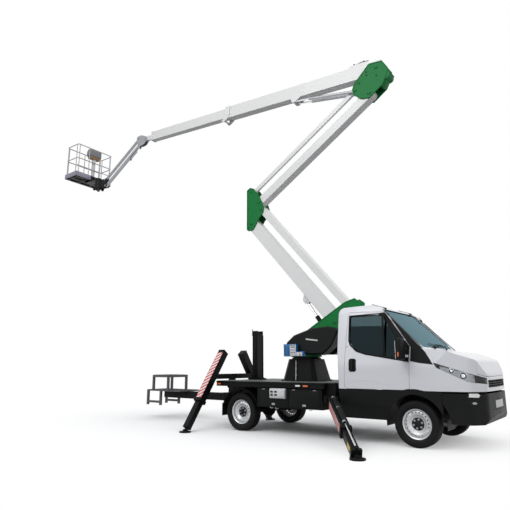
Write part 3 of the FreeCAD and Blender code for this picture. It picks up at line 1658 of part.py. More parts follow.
def make_rams():
    lower_barrel, lower_rod = ram_parts(
        lower_ram_base, lower_lug, lower_ram_radius, lower_ram_rod, lower_ram_barrel_share, lower_ram_return,
        0,
    )
    barrels = []
    rods = []
    for side in (-1, 1):
        barrel, rod = ram_parts(
            boom_ram_base, boom_lug, boom_ram_radius, boom_ram_rod, boom_ram_barrel_share, boom_ram_return,
            side * boom_ram_y,
        )
        barrels.append(barrel)
        rods.append(rod)
    return lower_barrel, lower_rod, barrels, rods


def make_nodes():
    nodes = {}
    nodes["chassis_frame"] = make_chassis()
    nodes["engine_block"] = make_engine()
    nodes["front_axle"] = make_front_axle()
    nodes["rear_axle"] = make_rear_axle()
    nodes["cab_shell"] = make_cab_shell()
    nodes["cab_glass"] = make_cab_glass()
    nodes["front_bumper"] = make_bumper()
    nodes["front_grille"] = make_grille()
    nodes["lower_cladding"] = make_cladding()
    nodes["headlamps"] = make_headlamps()
    nodes["bonnet"] = make_bonnet()
    nodes["seats"] = make_seats()
    nodes["dashboard"] = make_dashboard()
    nodes["steering_wheel"] = make_steering_wheel()
    door = make_door()
    glass = make_door_glass()
    nodes["door_right"] = door
    nodes["door_left"] = mirrored(door)
    nodes["door_glass_right"] = glass
    nodes["door_glass_left"] = mirrored(glass)
    knuckle = make_knuckle()
    nodes["knuckle_right"] = knuckle
    nodes["knuckle_left"] = mirrored(knuckle)
    for name, x in (("front", 0), ("rear", -wheelbase)):
        for side, word in ((-1, "right"), (1, "left")):
            nodes["tyre_" + name + "_" + word] = make_tyre(x, side)
            nodes["rim_" + name + "_" + word] = make_rim(x, side)
    nodes["deck"] = make_deck()
    nodes["side_lockers"] = make_lockers()
    nodes["boom_rest"] = make_boom_rest()
    nodes["rear_step"] = make_rear_step()
    nodes["pedestal"] = make_pedestal()
    nodes["rear_supports"] = make_rear_supports()
    nodes["rear_foot_right"] = make_rear_foot(-1, rear_right_pad_y)
    nodes["rear_foot_left"] = make_rear_foot(1, rear_left_pad_y)
    for side, word in ((-1, "right"), (1, "left")):
        nodes["front_leg_" + word] = make_front_leg(side)
        nodes["front_foot_" + word] = make_front_foot(side)
    nodes["turret"] = make_turret()
    nodes["turret_cover"] = make_turret_cover()
    nodes["control_box"] = make_control_box()
    nodes["lower_arm"] = make_lower_arm()
    nodes["lower_tie"] = make_lower_tie()
    nodes["lower_knuckle"] = make_lower_knuckle()
    nodes["upper_arm"] = make_upper_arm()
    nodes["upper_tie"] = make_upper_tie()
    nodes["upper_knuckle"] = make_upper_knuckle()
    nodes["boom"] = make_boom()
    nodes["boom_extension"] = make_extension()
    nodes["tip_head"] = make_tip_head()
    nodes["jib"] = make_jib()
    nodes["jib_tie"] = make_jib_tie()
    nodes["jib_head"] = make_jib_head()
    nodes["basket"] = make_basket()
    lower_barrel, lower_rod, barrels, rods = make_rams()
    nodes["lower_ram_barrel"] = lower_barrel
    nodes["lower_ram_rod"] = lower_rod
    nodes["boom_ram_barrels"] = barrels
    nodes["boom_ram_rods"] = rods
    return nodes


def as_one(shape):
    if isinstance(shape, list):
        return Part.makeCompound(shape)
    return shape


nodes = {name: as_one(shape) for name, shape in make_nodes().items()}
whole = Part.makeCompound(list(nodes.values())).optimalBoundingBox(False)
shift = V(-(whole.XMin + whole.XMax) / 2, -(whole.YMin + whole.YMax) / 2, -whole.ZMin)
os.makedirs("parts", exist_ok=True)
for name, shape in nodes.items():
    shape.translate(shift)
    shape.exportStep("parts/" + name + ".step")
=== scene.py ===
"""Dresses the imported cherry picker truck: finishes, cab, wheels, seats, deck, legs, mast, basket and studio.

Sizes are metres in the truck's own frame: x forwards from the front axle, y to the truck's left and z up
from the floor. Each sub-assembly is a class whose fields hold its sizes, places and outlines.
"""

import logging
import math
from dataclasses import dataclass, field
from enum import Enum
from typing import Any, Sequence

import bmesh
import bpy
from mathutils import Matrix, Vector
from mathutils.bvhtree import BVHTree


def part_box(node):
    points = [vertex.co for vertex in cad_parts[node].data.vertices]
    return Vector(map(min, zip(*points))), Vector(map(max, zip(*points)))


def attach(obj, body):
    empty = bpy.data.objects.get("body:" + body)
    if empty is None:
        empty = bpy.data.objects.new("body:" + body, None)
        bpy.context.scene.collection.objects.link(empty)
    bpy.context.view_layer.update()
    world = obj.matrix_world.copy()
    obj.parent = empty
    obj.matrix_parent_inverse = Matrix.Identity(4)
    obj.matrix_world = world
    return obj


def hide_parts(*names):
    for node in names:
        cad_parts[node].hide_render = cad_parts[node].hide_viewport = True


Pair = tuple[float, float]
Outline = Sequence[Pair]
Triple = tuple[float, float, float]
Blocks = Sequence[tuple[Triple, Triple]]

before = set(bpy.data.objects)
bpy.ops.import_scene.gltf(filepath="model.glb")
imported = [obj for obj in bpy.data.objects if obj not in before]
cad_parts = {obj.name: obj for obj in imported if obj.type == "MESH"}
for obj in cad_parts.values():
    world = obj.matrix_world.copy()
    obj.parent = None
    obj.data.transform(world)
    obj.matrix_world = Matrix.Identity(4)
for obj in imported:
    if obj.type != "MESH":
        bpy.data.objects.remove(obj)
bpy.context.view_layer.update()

LOG = logging.getLogger("cherry_picker")
REAR_AXLE_X = -3.45
AXLE = (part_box("tyre_front_right")[0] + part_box("tyre_front_right")[1]) / 2
LEFT = 1
RIGHT = -1
BOTH = (RIGHT, LEFT)
SIDES = ((RIGHT, "right"), (LEFT, "left"))
ACROSS = Vector((0, 1, 0))
UP = Vector((0, 0, 1))
AHEAD = Vector((1, 0, 0))
SOFT_ANGLE = math.radians(32)
TINY = 1e-5


def at(x: float, y: float, z: float) -> Vector:
    """Point of the truck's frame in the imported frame."""
    return Vector((x + AXLE.x, y, z))


def beside(side: int, x: float, y: float, z: float) -> Vector:
    """Point at a distance from the truck's middle plane, on one of its sides."""
    return at(x, side * y, z)


def along(angle: float) -> Vector:
    """Direction in side view that points rearwards and up by an angle in degrees."""
    turn = math.radians(angle)
    return Vector((-math.cos(turn), 0, math.sin(turn)))


def over(way: Vector) -> Vector:
    """Direction in side view that stands on a rearward one and points up."""
    return Vector((way.z, 0, -way.x))


def facing(way: Vector) -> Matrix:
    """Rotation that turns the Z axis to a direction."""
    return way.to_track_quat("Z", "Y").to_matrix().to_4x4()


def axes(way: Vector, up: Vector) -> Matrix:
    """Rotation whose X axis is a direction and whose Z axis is near another.

    Args:
        way: Direction of the X axis.
        up: Direction that the Z axis comes near.

    Returns:
        The rotation.
    """
    x = way.normalized()
    y = up.cross(x).normalized()
    return Matrix((x, y, x.cross(y))).transposed().to_4x4()


def on_circle(centre: Vector, radius: float, turn: float) -> Vector:
    """Point of a level circle at an angle in radians."""
    return centre + Vector((math.cos(turn) * radius, math.sin(turn) * radius, 0))


# Finishes


class Grain(Enum):
    """Fine relief that a finish has."""

    SPRAYED = "sprayed paint"
    MOULDED = "moulded grain"
    BRUSHED = "brushed metal"
    CAST = "cast metal"
    WOVEN = "woven cloth"
    STUDDED = "studded anti-slip sheet"
    SMOOTH = "smooth"


@dataclass(frozen=True)
class Net:
    """Node tree of a material or of the world, with short ways to fill it."""

    tree: bpy.types.NodeTree

    def add(self, kind: str, inputs: dict[str | int, Any] | None = None, **options: str) -> bpy.types.Node:
        """Adds a shader node.

        Args:
            kind: Its type, without the word that all types start with.
            inputs: Its input sockets' values, or the outputs that feed them.
            options: Its other settings.

        Returns:
            The node.
        """
        node = self.tree.nodes.new("ShaderNode" + kind)
        for name, option in options.items():
            setattr(node, name, option)
        self.fill(node, inputs or {})
        return node

    def fill(self, node: bpy.types.Node, inputs: dict[str | int, Any]) -> None:
        """Sets a node's input sockets.

        Args:
            node: The node.
            inputs: Each socket's value, or the output that feeds it.
        """
        for socket, value in inputs.items():
            if isinstance(value, bpy.types.NodeSocket):
                self.tree.links.new(value, node.inputs[socket])
            else:
                node.inputs[socket].default_value = value


@dataclass(frozen=True)
class Finish:
    """One procedural finish of the truck.

    Attributes:
        name: Plain name of the finish.
        colour: Linear base colour.
        roughness: Middle roughness.
        metal: Metallic share.
        coat: Clear coat weight.
        grain: Fine relief.
        size: Features of the relief per metre.
        height: Depth of the relief in metres.
        mottle: Share by which the colour varies.
        dust: Share of road dust at the floor, which fades out upwards.
        clear: Transmission weight.
        specular: Specular level.
        film: Tint of a thin film over a clear finish, that darkens what it reflects.
    """

    name: str
    colour: Triple
    roughness: float = 0.4
    metal: float = 0.0
    coat: float = 0.0
    grain: Grain = Grain.SPRAYED
    size: float = 260.0
    height: float = 2e-4
    mottle: float = 0.05
    dust: float = 0.0
    clear: float = 0.0
    specular: float = 0.5
    film: Triple | None = None

    COAT_ROUGHNESS = 0.06
    BODY_IOR = 1.45
    FILM_IOR = 1.05
    CLOUD_SIZE = 5.0
    SMEAR_SIZE = 14.0
    SMEAR_SHARE = 0.2
    DUST_COLOUR = (0.3, 0.28, 0.25, 1)
    DUST_SPAN = (0.05, 0.9)
    BRUSH_STRETCH = (0.12, 1.0, 1.0)
    STUD_TURN = (0, 0, math.radians(45))
    BUMP = 0.6

    def material(self) -> bpy.types.Material:
        """Material of this finish, made once, with its patterns on Object coordinates.

        Returns:
            The Blender material.
        """
        found = bpy.data.materials.get(self.name)
        if found:
            return found
        made = bpy.data.materials.new(self.name)
        made.use_nodes = True
        net = Net(made.node_tree)
        shader = made.node_tree.nodes["Principled BSDF"]
        net.fill(shader, {
            "Metallic": self.metal, "Coat Weight": self.coat, "Coat Roughness": self.COAT_ROUGHNESS,
            "Transmission Weight": self.clear, "IOR": self.BODY_IOR, "Specular IOR Level": self.specular})
        if self.film:
            net.fill(shader, {"Coat Weight": 1.0, "Coat IOR": self.FILM_IOR, "Coat Tint": (*self.film, 1)})
        place = net.add("TexCoord").outputs["Object"]
        net.fill(shader, {"Base Color": self._colour(net, place)})
        net.fill(shader, {"Roughness": self._roughness(net, place)})
        if self.grain is not Grain.SMOOTH:
            net.fill(shader, {"Normal": self._relief(net, place)})
        return made

    def _colour(self, net: Net, place: bpy.types.NodeSocket) -> bpy.types.NodeSocket:
        """Slow mottling of the colour, with dust low down.

        Args:
            net: Node tree of the material.
            place: Object coordinates.

        Returns:
            The colour.
        """
        cloud = net.add("TexNoise", {"Scale": self.CLOUD_SIZE, "Detail": 5.0, "Vector": place})
        haze = cloud.outputs["Fac"]
        dark = (*[c * (1 - self.mottle) for c in self.colour], 1)
        light = (*[min(1.0, c * (1 + self.mottle)) for c in self.colour], 1)
        blend = net.add("Mix", data_type="RGBA")
        net.fill(blend, {"A": dark, "B": light, "Factor": haze})
        if not self.dust:
            return blend.outputs["Result"]
        split = net.add("SeparateXYZ", {"Vector": place})
        floor, clean = self.DUST_SPAN
        height = split.outputs["Z"]
        fade = net.add("MapRange", {
            "From Min": floor, "From Max": clean, "To Min": self.dust, "To Max": 0.0, "Value": height})
        spots = net.add("Math", {0: fade.outputs["Result"], 1: haze}, operation="MULTIPLY")
        dusty = net.add("Mix", data_type="RGBA")
        share = spots.outputs["Value"]
        net.fill(dusty, {"A": blend.outputs["Result"], "B": self.DUST_COLOUR, "Factor": share})
        return dusty.outputs["Result"]

    def _roughness(self, net: Net, place: bpy.types.NodeSocket) -> bpy.types.NodeSocket:
        """Roughness that wanders a little, as handled surfaces do.

        Args:
            net: Node tree of the material.
            place: Object coordinates.

        Returns:
            The roughness.
        """
        smear = net.add("TexNoise", {"Scale": self.SMEAR_SIZE, "Detail": 3.0, "Vector": place})
        low = self.roughness * (1 - self.SMEAR_SHARE)
        high = min(1.0, self.roughness * (1 + self.SMEAR_SHARE))
        span = net.add("MapRange", {"To Min": low, "To Max": high, "Value": smear.outputs["Fac"]})
        return span.outputs["Result"]

    def _relief(self, net: Net, place: bpy.types.NodeSocket) -> bpy.types.NodeSocket:
        """Fine relief of the grain.

        Args:
            net: Node tree of the material.
            place: Object coordinates.

        Returns:
            The bumped normal.
        """
        spread = net.add("Mapping", {"Vector": place})
        pattern = {"Scale": self.size, "Vector": spread.outputs["Vector"]}
        if self.grain is Grain.BRUSHED:
            net.fill(spread, {"Scale": self.BRUSH_STRETCH})
        if self.grain is Grain.MOULDED:
            value = net.add("TexVoronoi", pattern).outputs["Distance"]
        elif self.grain in (Grain.WOVEN, Grain.STUDDED):
            if self.grain is Grain.STUDDED:
                net.fill(spread, {"Rotation": self.STUD_TURN})
            waves = [net.add("TexWave", pattern, bands_direction=axis).outputs["Fac"] for axis in "XY"]
            value = net.add("Math", {0: waves[0], 1: waves[1]}, operation="MULTIPLY").outputs["Value"]
        else:
            detail = 2.0 if self.grain is Grain.SPRAYED else 6.0
            value = net.add("TexNoise", {"Detail": detail, **pattern}).outputs["Fac"]
        bump = net.add("Bump", {"Distance": self.height, "Strength": self.BUMP, "Height": value})
        return bump.outputs["Normal"]


CAB_WHITE = Finish(
    "cab white paint", (0.70, 0.71, 0.745), 0.3, coat=0.5, size=900, height=2e-5, mottle=0.015, dust=0.06)
MAST_WHITE = Finish(
    "mast white paint", (0.78, 0.78, 0.775), 0.36, coat=0.2, grain=Grain.SMOOTH, mottle=0.012)
MAST_GREEN = Finish(
    "mast green paint", (0.006, 0.175, 0.040), 0.5, coat=0.08, grain=Grain.SMOOTH, specular=0.16)
CHASSIS_BLACK = Finish(
    "chassis black paint", (0.0045, 0.0048, 0.005), 0.48, size=500, height=5e-5, mottle=0.2, dust=0.02,
    specular=0.12)
SUPPORT_BLACK = Finish(
    "support black paint", (0.004, 0.0044, 0.0045), 0.42, size=500, height=4e-5, mottle=0.2, dust=0.015,
    specular=0.14)
COVER_BLACK = Finish(
    "moulded cover black", (0.0045, 0.0055, 0.0058), 0.4, grain=Grain.MOULDED, size=900, height=6e-5,
    mottle=0.12, specular=0.2)
TRIM_BLACK = Finish(
    "grained trim black", (0.005, 0.0055, 0.0056), 0.5, grain=Grain.MOULDED, size=900, height=8e-5,
    mottle=0.12, dust=0.03, specular=0.15)
TRIM_GREY = Finish(
    "dashboard grey", (0.018, 0.019, 0.021), 0.6, grain=Grain.MOULDED, size=700, height=1e-4, mottle=0.1,
    specular=0.25)
DECK_GREY = Finish(
    "deck anti-slip grey", (0.105, 0.11, 0.115), 0.55, grain=Grain.STUDDED, size=14, height=9e-4,
    mottle=0.25, specular=0.3)
STEP_GREY = Finish(
    "galvanised step", (0.11, 0.11, 0.115), 0.5, metal=0.4, grain=Grain.CAST, size=90, mottle=0.35,
    specular=0.3)
BASKET_GREY = Finish(
    "basket aluminium", (0.46, 0.46, 0.48), metal=0.3, grain=Grain.BRUSHED, size=300, height=5e-5, mottle=0.1)
BASKET_LILAC = Finish(
    "basket toe board", (0.30, 0.29, 0.36), 0.45, metal=0.1, grain=Grain.BRUSHED, size=300, height=5e-5,
    mottle=0.1)
CONSOLE_GREY = Finish("console grey", (0.23, 0.235, 0.25), 0.45, grain=Grain.MOULDED, size=400)
CONSOLE_TAN = Finish("console tan", (0.32, 0.19, 0.1), 0.5, grain=Grain.MOULDED, size=400)
RIM_SILVER = Finish(
    "rim silver paint", (0.62, 0.63, 0.64), 0.32, metal=0.35, coat=0.3, size=700, height=3e-5, dust=0.04)
HUB_DARK = Finish(
    "hub dark metal", (0.010, 0.010, 0.011), 0.45, metal=0.2, grain=Grain.CAST, size=160, height=1e-4,
    mottle=0.25, specular=0.25)
STEEL = Finish(
    "machined steel", (0.36, 0.37, 0.39), 0.34, metal=0.75, grain=Grain.BRUSHED, height=5e-5, mottle=0.12)
CHROME = Finish(
    "rod chrome", (0.72, 0.72, 0.74), 0.12, metal=1.0, grain=Grain.BRUSHED, size=420, height=5e-5,
    mottle=0.03)
IRON = Finish(
    "engine iron", (0.03, 0.03, 0.031), 0.6, metal=0.3, grain=Grain.CAST, size=120, mottle=0.3, specular=0.25)
RUBBER = Finish(
    "tyre rubber", (0.0055, 0.0055, 0.0055), 0.6, grain=Grain.CAST, size=220, height=1.5e-4, mottle=0.2,
    dust=0.04, specular=0.15)
CLOTH = Finish("seat cloth", (0.018, 0.018, 0.02), 0.9, grain=Grain.WOVEN, height=6e-4, mottle=0.25)
CLOTH_EDGE = Finish(
    "seat side cloth", (0.035, 0.035, 0.038), 0.85, grain=Grain.WOVEN, height=6e-4, mottle=0.2)
GLASS = Finish(
    "tinted glass", (0.022, 0.062, 0.078), 0.015, grain=Grain.SMOOTH, mottle=0.06, clear=1.0, specular=0.15,
    film=(0.5, 0.74, 0.8))
LENS = Finish("clear lens", (0.9, 0.92, 0.94), 0.04, grain=Grain.SMOOTH, mottle=0.02, clear=1.0)
LINER = Finish(
    "lamp liner", (0.36, 0.37, 0.39), 0.38, metal=0.6, grain=Grain.SMOOTH, mottle=0.1, specular=0.3)
REFLECTOR = Finish(
    "lamp reflector", (0.78, 0.79, 0.8), 0.1, metal=1.0, grain=Grain.BRUSHED, size=80, height=1e-4)
LAMP_WHITE = Finish(
    "lamp white", (0.86, 0.87, 0.86), 0.25, coat=0.4, grain=Grain.MOULDED, size=140, mottle=0.03)
LAMP_ORANGE = Finish(
    "marker orange", (0.75, 0.14, 0.02), 0.28, coat=0.6, grain=Grain.MOULDED, size=160, mottle=0.08)
LAMP_RED = Finish("lamp red", (0.45, 0.01, 0.01), 0.28, coat=0.6, grain=Grain.MOULDED, size=160, mottle=0.08)
STRIPE_RED = Finish("stripe red", (0.60, 0.045, 0.035), coat=0.3, grain=Grain.MOULDED, size=600, mottle=0.1)
STRIPE_WHITE = Finish("stripe white", (0.78, 0.74, 0.74), coat=0.3, grain=Grain.MOULDED, size=600)
MARK_YELLOW = Finish("mark yellow", (0.6, 0.42, 0.03), grain=Grain.MOULDED, size=500, mottle=0.15)
PANEL_BLUE = Finish(
    "panel blue", (0.015, 0.14, 0.36), coat=0.2, grain=Grain.MOULDED, size=700, height=5e-5, mottle=0.1)
PANEL_PALE = Finish("panel pale", (0.66, 0.67, 0.68), 0.42, grain=Grain.MOULDED, size=400, mottle=0.06)
PLATE_BARE = Finish("bare plate", (0.62, 0.62, 0.6), 0.45, size=300, mottle=0.06)
MIRROR = Finish("mirror face", (0.8, 0.82, 0.83), 0.03, metal=1.0, grain=Grain.SMOOTH, mottle=0.02)

NODES_BY_FINISH = (
    (CHASSIS_BLACK, "chassis_frame front_axle rear_axle deck side_lockers"),
    (SUPPORT_BLACK, "boom_rest pedestal rear_supports rear_foot_left rear_foot_right lower_ram_barrel"),
    (SUPPORT_BLACK, "front_leg_left front_leg_right front_foot_left front_foot_right"),
    (CAB_WHITE, "cab_shell bonnet door_left door_right"),
    (GLASS, "cab_glass door_glass_left door_glass_right"),
    (LENS, "headlamps"),
    (TRIM_BLACK, "front_bumper front_grille lower_cladding"),
    (TRIM_GREY, "dashboard steering_wheel"),
    (CLOTH, "seats"),
    (IRON, "engine_block"),
    (HUB_DARK, "knuckle_left knuckle_right jib_head"),
    (STEP_GREY, "rear_step"),
    (MAST_GREEN, "turret lower_knuckle upper_knuckle"),
    (COVER_BLACK, "turret_cover"),
    (PANEL_BLUE, "control_box"),
    (MAST_WHITE, "lower_arm lower_tie upper_arm upper_tie boom boom_extension"),
    (STEEL, "tip_head jib jib_tie boom_ram_barrels"),
    (CHROME, "lower_ram_rod boom_ram_rods"),
    (BASKET_GREY, "basket"))
NODE_FINISHES = {node: finish for finish, nodes in NODES_BY_FINISH for node in nodes.split()}


# Mesh workshop


def verts_of(geom: Sequence) -> list[bmesh.types.BMVert]:
    """Vertices among the elements that an operator returns."""
    return [g for g in geom if isinstance(g, bmesh.types.BMVert)]


def faces_of(verts: Sequence[bmesh.types.BMVert]) -> list[bmesh.types.BMFace]:
    """Faces round some vertices, each once and in a fixed order."""
    return list(dict.fromkeys(f for v in verts for f in v.link_faces))


@dataclass
class Shape:
    """A mesh that grows solid by solid from bmesh operators.

    Attributes:
        bm: The mesh so far.
        paint: Index of the finish that the next solid takes.
    """

    bm: bmesh.types.BMesh = field(default_factory=bmesh.new)
    paint: int = 0

    def _finish(self, verts: Sequence[bmesh.types.BMVert], bevel: float) -> None:
        """Paints the faces of a new solid and softens its sharp edges.

        Args:
            verts: Vertices of the solid.
            bevel: Width of its softened edges.
        """
        faces = faces_of(verts)
        for f in faces:
            f.material_index = self.paint
        if bevel:
            edges = dict.fromkeys(e for f in faces for e in f.edges)
            sharp = [e for e in edges if e.calc_face_angle(0) > SOFT_ANGLE]
            bmesh.ops.bevel(
                self.bm, geom=sharp, offset=bevel, affect="EDGES", segments=2, profile=0.5, material=-1)

    def block(
        self, centre: Vector, size: Sequence[float], bevel: float = 0.003, turn: Matrix | None = None,
    ) -> None:
        """Adds a softened block.

        Args:
            centre: Its middle.
            size: Its three lengths.
            bevel: Width of its softened edges.
            turn: Its rotation, if any.
        """
        place = Matrix.Translation(centre) @ (turn or Matrix.Identity(4)) @ Matrix.Diagonal((*size, 1))
        made = bmesh.ops.create_cube(self.bm, size=1, matrix=place)
        self._finish(made["verts"], bevel)

    def blocks(self, rows: Blocks, bevel: float, side: int = LEFT) -> None:
        """Adds softened blocks on one side of the truck.

        Args:
            rows: Middle and three lengths of each.
            bevel: Width of their softened edges.
            side: The side.
        """
        for centre, size in rows:
            self.block(beside(side, *centre), size, bevel)

    def rod(
        self, start: Vector, finish: Vector, radius: float, tip: float | None = None, sides: int = 24,
        bevel: float = 0.0,
    ) -> None:
        """Adds a round or many-sided bar between two points.

        Args:
            start: Middle of its first end.
            finish: Middle of its second end.
            radius: Its radius at the start.
            tip: Its radius at the finish, if that differs.
            sides: Its sides.
            bevel: Width of its softened end edges.
        """
        way = finish - start
        made = bmesh.ops.create_cone(
            self.bm, cap_ends=True, segments=sides, radius1=radius, radius2=radius if tip is None else tip,
            depth=way.length, matrix=Matrix.Translation((start + finish) / 2) @ facing(way))
        self._finish(made["verts"], bevel)

    def prism(self, points: Sequence[Vector], way: Vector, bevel: float = 0.0) -> None:
        """Adds a flat outline pushed along a direction.

        Args:
            points: Its outline.
            way: How far and which way it is pushed.
            bevel: Width of its softened edges.
        """
        face = self.bm.faces.new([self.bm.verts.new(p) for p in points])
        pushed = verts_of(bmesh.ops.extrude_face_region(self.bm, geom=[face])["geom"])
        bmesh.ops.translate(self.bm, vec=way, verts=pushed)
        solid = pushed + list(face.verts)
        bmesh.ops.recalc_face_normals(self.bm, faces=faces_of(solid))
        self._finish(solid, bevel)

    def lathe(
        self, profile: Outline, centre: Vector, axis: Vector, steps: int = 48,
    ) -> list[bmesh.types.BMFace]:
        """Adds a body turned about an axis.

        Args:
            profile: Radius and place along the axis of each point, round the closed section or from pole
                to pole.
            centre: Where the axis place is zero.
            axis: Direction of the axis.
            steps: Steps of the full turn.

        Returns:
            The faces of the body.
        """
        out = facing(axis).to_3x3() @ AHEAD
        rim = [self.bm.verts.new(centre + out * r + axis.normalized() * place) for r, place in profile]
        line = [self.bm.edges.new(pair) for pair in zip(rim, rim[1:])]
        if profile[0][0] > 0 and profile[-1][0] > 0:
            line.append(self.bm.edges.new((rim[-1], rim[0])))
        before = set(self.bm.faces)
        bmesh.ops.spin(
            self.bm, geom=rim + line, cent=centre, axis=axis, angle=math.tau, steps=steps, use_merge=True)
        turned = dict.fromkeys(v for f in self.bm.faces if f not in before for v in f.verts)
        poles = [v for v in turned if (v.co - centre).cross(axis).length < TINY]
        bmesh.ops.remove_doubles(self.bm, verts=poles, dist=TINY)
        faces = [f for f in self.bm.faces if f not in before]
        for f in faces:
            f.material_index = self.paint
        bmesh.ops.recalc_face_normals(self.bm, faces=faces)
        return faces

    def piped(
        self, points: Sequence[Vector], radius: float, corner: float = 0.04, closed: bool = False,
    ) -> None:
        """Adds a bent round tube.

        Args:
            points: Corners of its line.
            radius: Its radius.
            corner: Radius of its bends.
            closed: Whether it is a ring.
        """
        line = bpy.data.curves.new("pipe", "CURVE")
        line.dimensions = "3D"
        line.bevel_depth = radius
        line.bevel_resolution = 3
        line.use_fill_caps = not closed
        path = rounded(points, corner, closed)
        spline = line.splines.new("POLY")
        spline.points.add(len(path) - 1)
        for spot, p in zip(spline.points, path):
            spot.co = (*p, 1)
        spline.use_cyclic_u = closed
        holder = bpy.data.objects.new("pipe", line)
        self.take(bpy.data.meshes.new_from_object(holder))
        bpy.data.objects.remove(holder)
        bpy.data.curves.remove(line)

    def take(self, mesh: bpy.types.Mesh) -> None:
        """Adds a finished mesh in the present paint, and drops that mesh.

        Args:
            mesh: The mesh.
        """
        before = len(self.bm.faces)
        self.bm.from_mesh(mesh)
        self.bm.faces.ensure_lookup_table()
        for f in self.bm.faces[before:]:
            f.material_index = self.paint
        bpy.data.meshes.remove(mesh)

    def draped(
        self, outline: Sequence[Vector], way: Vector, node: str, lift: float, thickness: float,
        cell: float = 0.04, reach: float = 0.5,
    ) -> None:
        """Adds a thin panel that lies on a CAD node's surface.

        Args:
            outline: Its outline, seen along the direction.
            way: Level direction from outside towards the surface.
            node: The CAD node that it lies on.
            lift: How far its face stands off the surface.
            thickness: How far it reaches back from its face.
            cell: Size of the cells that follow the surface.
            reach: Depth round its middle that still counts as the surface.
        """
        part = bmesh.new()
        part.faces.new([part.verts.new(p) for p in outline])
        for axis in (AHEAD, ACROSS, UP):
            if abs(way.dot(axis)) < 0.5:
                cut_in_cells(part, axis, cell)
        settle(part, way, node, lift, reach)
        made = bmesh.ops.extrude_face_region(part, geom=part.faces[:])
        bmesh.ops.translate(part, vec=way * thickness, verts=verts_of(made["geom"]))
        bmesh.ops.recalc_face_normals(part, faces=part.faces[:])
        mesh = bpy.data.meshes.new("panel")
        part.to_mesh(mesh)
        part.free()
        self.take(mesh)

    def bolt(self, spot: Vector, way: Vector, radius: float = 0.009, height: float = 0.006) -> None:
        """Adds a hexagon bolt head on its washer.

        Args:
            spot: Middle of the washer's back.
            way: Direction that the head looks to.
            radius: Radius of the head.
            height: Height of the head.
        """
        face = spot + way * height * 0.4
        self.rod(spot, face, radius * 1.5, sides=16)
        self.rod(face, spot + way * height * 1.6, radius, sides=6, bevel=radius * 0.1)

    def mirrored(self) -> None:
        """Adds the same again on the truck's other side."""
        geom = self.bm.verts[:] + self.bm.edges[:] + self.bm.faces[:]
        twin = bmesh.ops.duplicate(self.bm, geom=geom)["geom"]
        bmesh.ops.scale(self.bm, vec=(1, -1, 1), verts=verts_of(twin))
        bmesh.ops.reverse_faces(self.bm, faces=[g for g in twin if isinstance(g, bmesh.types.BMFace)])


def cut_in_cells(part: bmesh.types.BMesh, axis: Vector, cell: float) -> None:
    """Cuts a flat part across an axis into cells of about one size.

    Args:
        part: The part.
        axis: The axis.
        cell: Size of a cell.
    """
    places = [v.co.dot(axis) for v in part.verts]
    low, high = min(places), max(places)
    count = int((high - low) / cell)
    for step in range(1, count + 1):
        place = low + (high - low) * step / (count + 1)
        geom = part.verts[:] + part.edges[:] + part.faces[:]
        bmesh.ops.bisect_plane(part, geom=geom, plane_co=axis * place, plane_no=axis)


def settle(part: bmesh.types.BMesh, way: Vector, node: str, lift: float, reach: float) -> None:
    """Moves a flat part's vertices along a direction until they lie on a CAD node.

    A vertex that meets nothing, or something well before or behind the part's middle depth, takes the
    depth of the nearest vertex that meets the surface.

    Args:
        part: The part.
        way: The direction.
        node: The CAD node.
        lift: How far the part stays off the surface.
        reach: Depth round the middle that still counts as the surface.
    """
    far = 20
    depths = {}
    for v in part.verts:
        hit = surface(node).ray_cast(v.co - way * (v.co.dot(way) + far), way)[0]
        if hit:
            depths[v] = hit.dot(way)
    middle = sorted(depths.values())[len(depths) // 2]
    flat = {v: v.co.copy() for v in part.verts}
    sound = [v for v in depths if abs(depths[v] - middle) < reach / 2]
    for v in part.verts:
        near = v if v in sound else min(sound, key=lambda other: (flat[other] - flat[v]).length)
        v.co += way * (depths[near] - lift - v.co.dot(way))


def surface(node: str) -> BVHTree:
    """Search tree of a CAD node's surface, kept for the next use.

    Args:
        node: Name of the node.

    Returns:
        The tree.
    """
    if node not in _TREES:
        _TREES[node] = BVHTree.FromObject(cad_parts[node], bpy.context.evaluated_depsgraph_get())
    return _TREES[node]


_TREES: dict[str, BVHTree] = {}


def rounded(points: Sequence[Vector], corner: float, closed: bool) -> list[Vector]:
    """Path through corner points with its bends rounded.

    Args:
        points: The corners.
        corner: Radius of each bend.
        closed: Whether the last point joins the first.

    Returns:
        The points of the path.
    """
    steps = 6
    most = 0.45
    path = []
    count = len(points)
    for i, p in enumerate(points):
        if not closed and i in (0, count - 1):
            path.append(p)
            continue
        a = points[i - 1] - p
        b = points[(i + 1) % count] - p
        reach = min(corner, a.length * most, b.length * most)
        start, finish = p + a.normalized() * reach, p + b.normalized() * reach
        for t in (step / steps for step in range(steps + 1)):
            path.append(start * (1 - t) ** 2 + p * 2 * t * (1 - t) + finish * t ** 2)
    return path


def hand_over(
    shape: Shape, name: str, finishes: Sequence[Finish], body: str, replaces: Sequence[str] = (),
) -> bpy.types.Object:
    """Makes a shape a piece of the truck.

    Args:
        shape: What was built.
        name: Name of the piece.
        finishes: Its finishes, in the order of its paint indices.
        body: CAD body that it rides on.
        replaces: CAD nodes that it stands for.

    Returns:
        The piece.
    """
    mesh = bpy.data.meshes.new(name)
    shape.bm.to_mesh(mesh)
    shape.bm.free()
    for finish in finishes:
        mesh.materials.append(finish.material())
    mesh.shade_smooth()
    mesh.set_sharp_from_angle(angle=SOFT_ANGLE)
    piece = bpy.data.objects.new(name, mesh)
    bpy.context.scene.collection.objects.link(piece)
    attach(piece, body)
    if replaces:
        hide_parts(*replaces)
    LOG.info("%s: %d faces on %s", name, len(mesh.polygons), body)
    return piece


# Cab


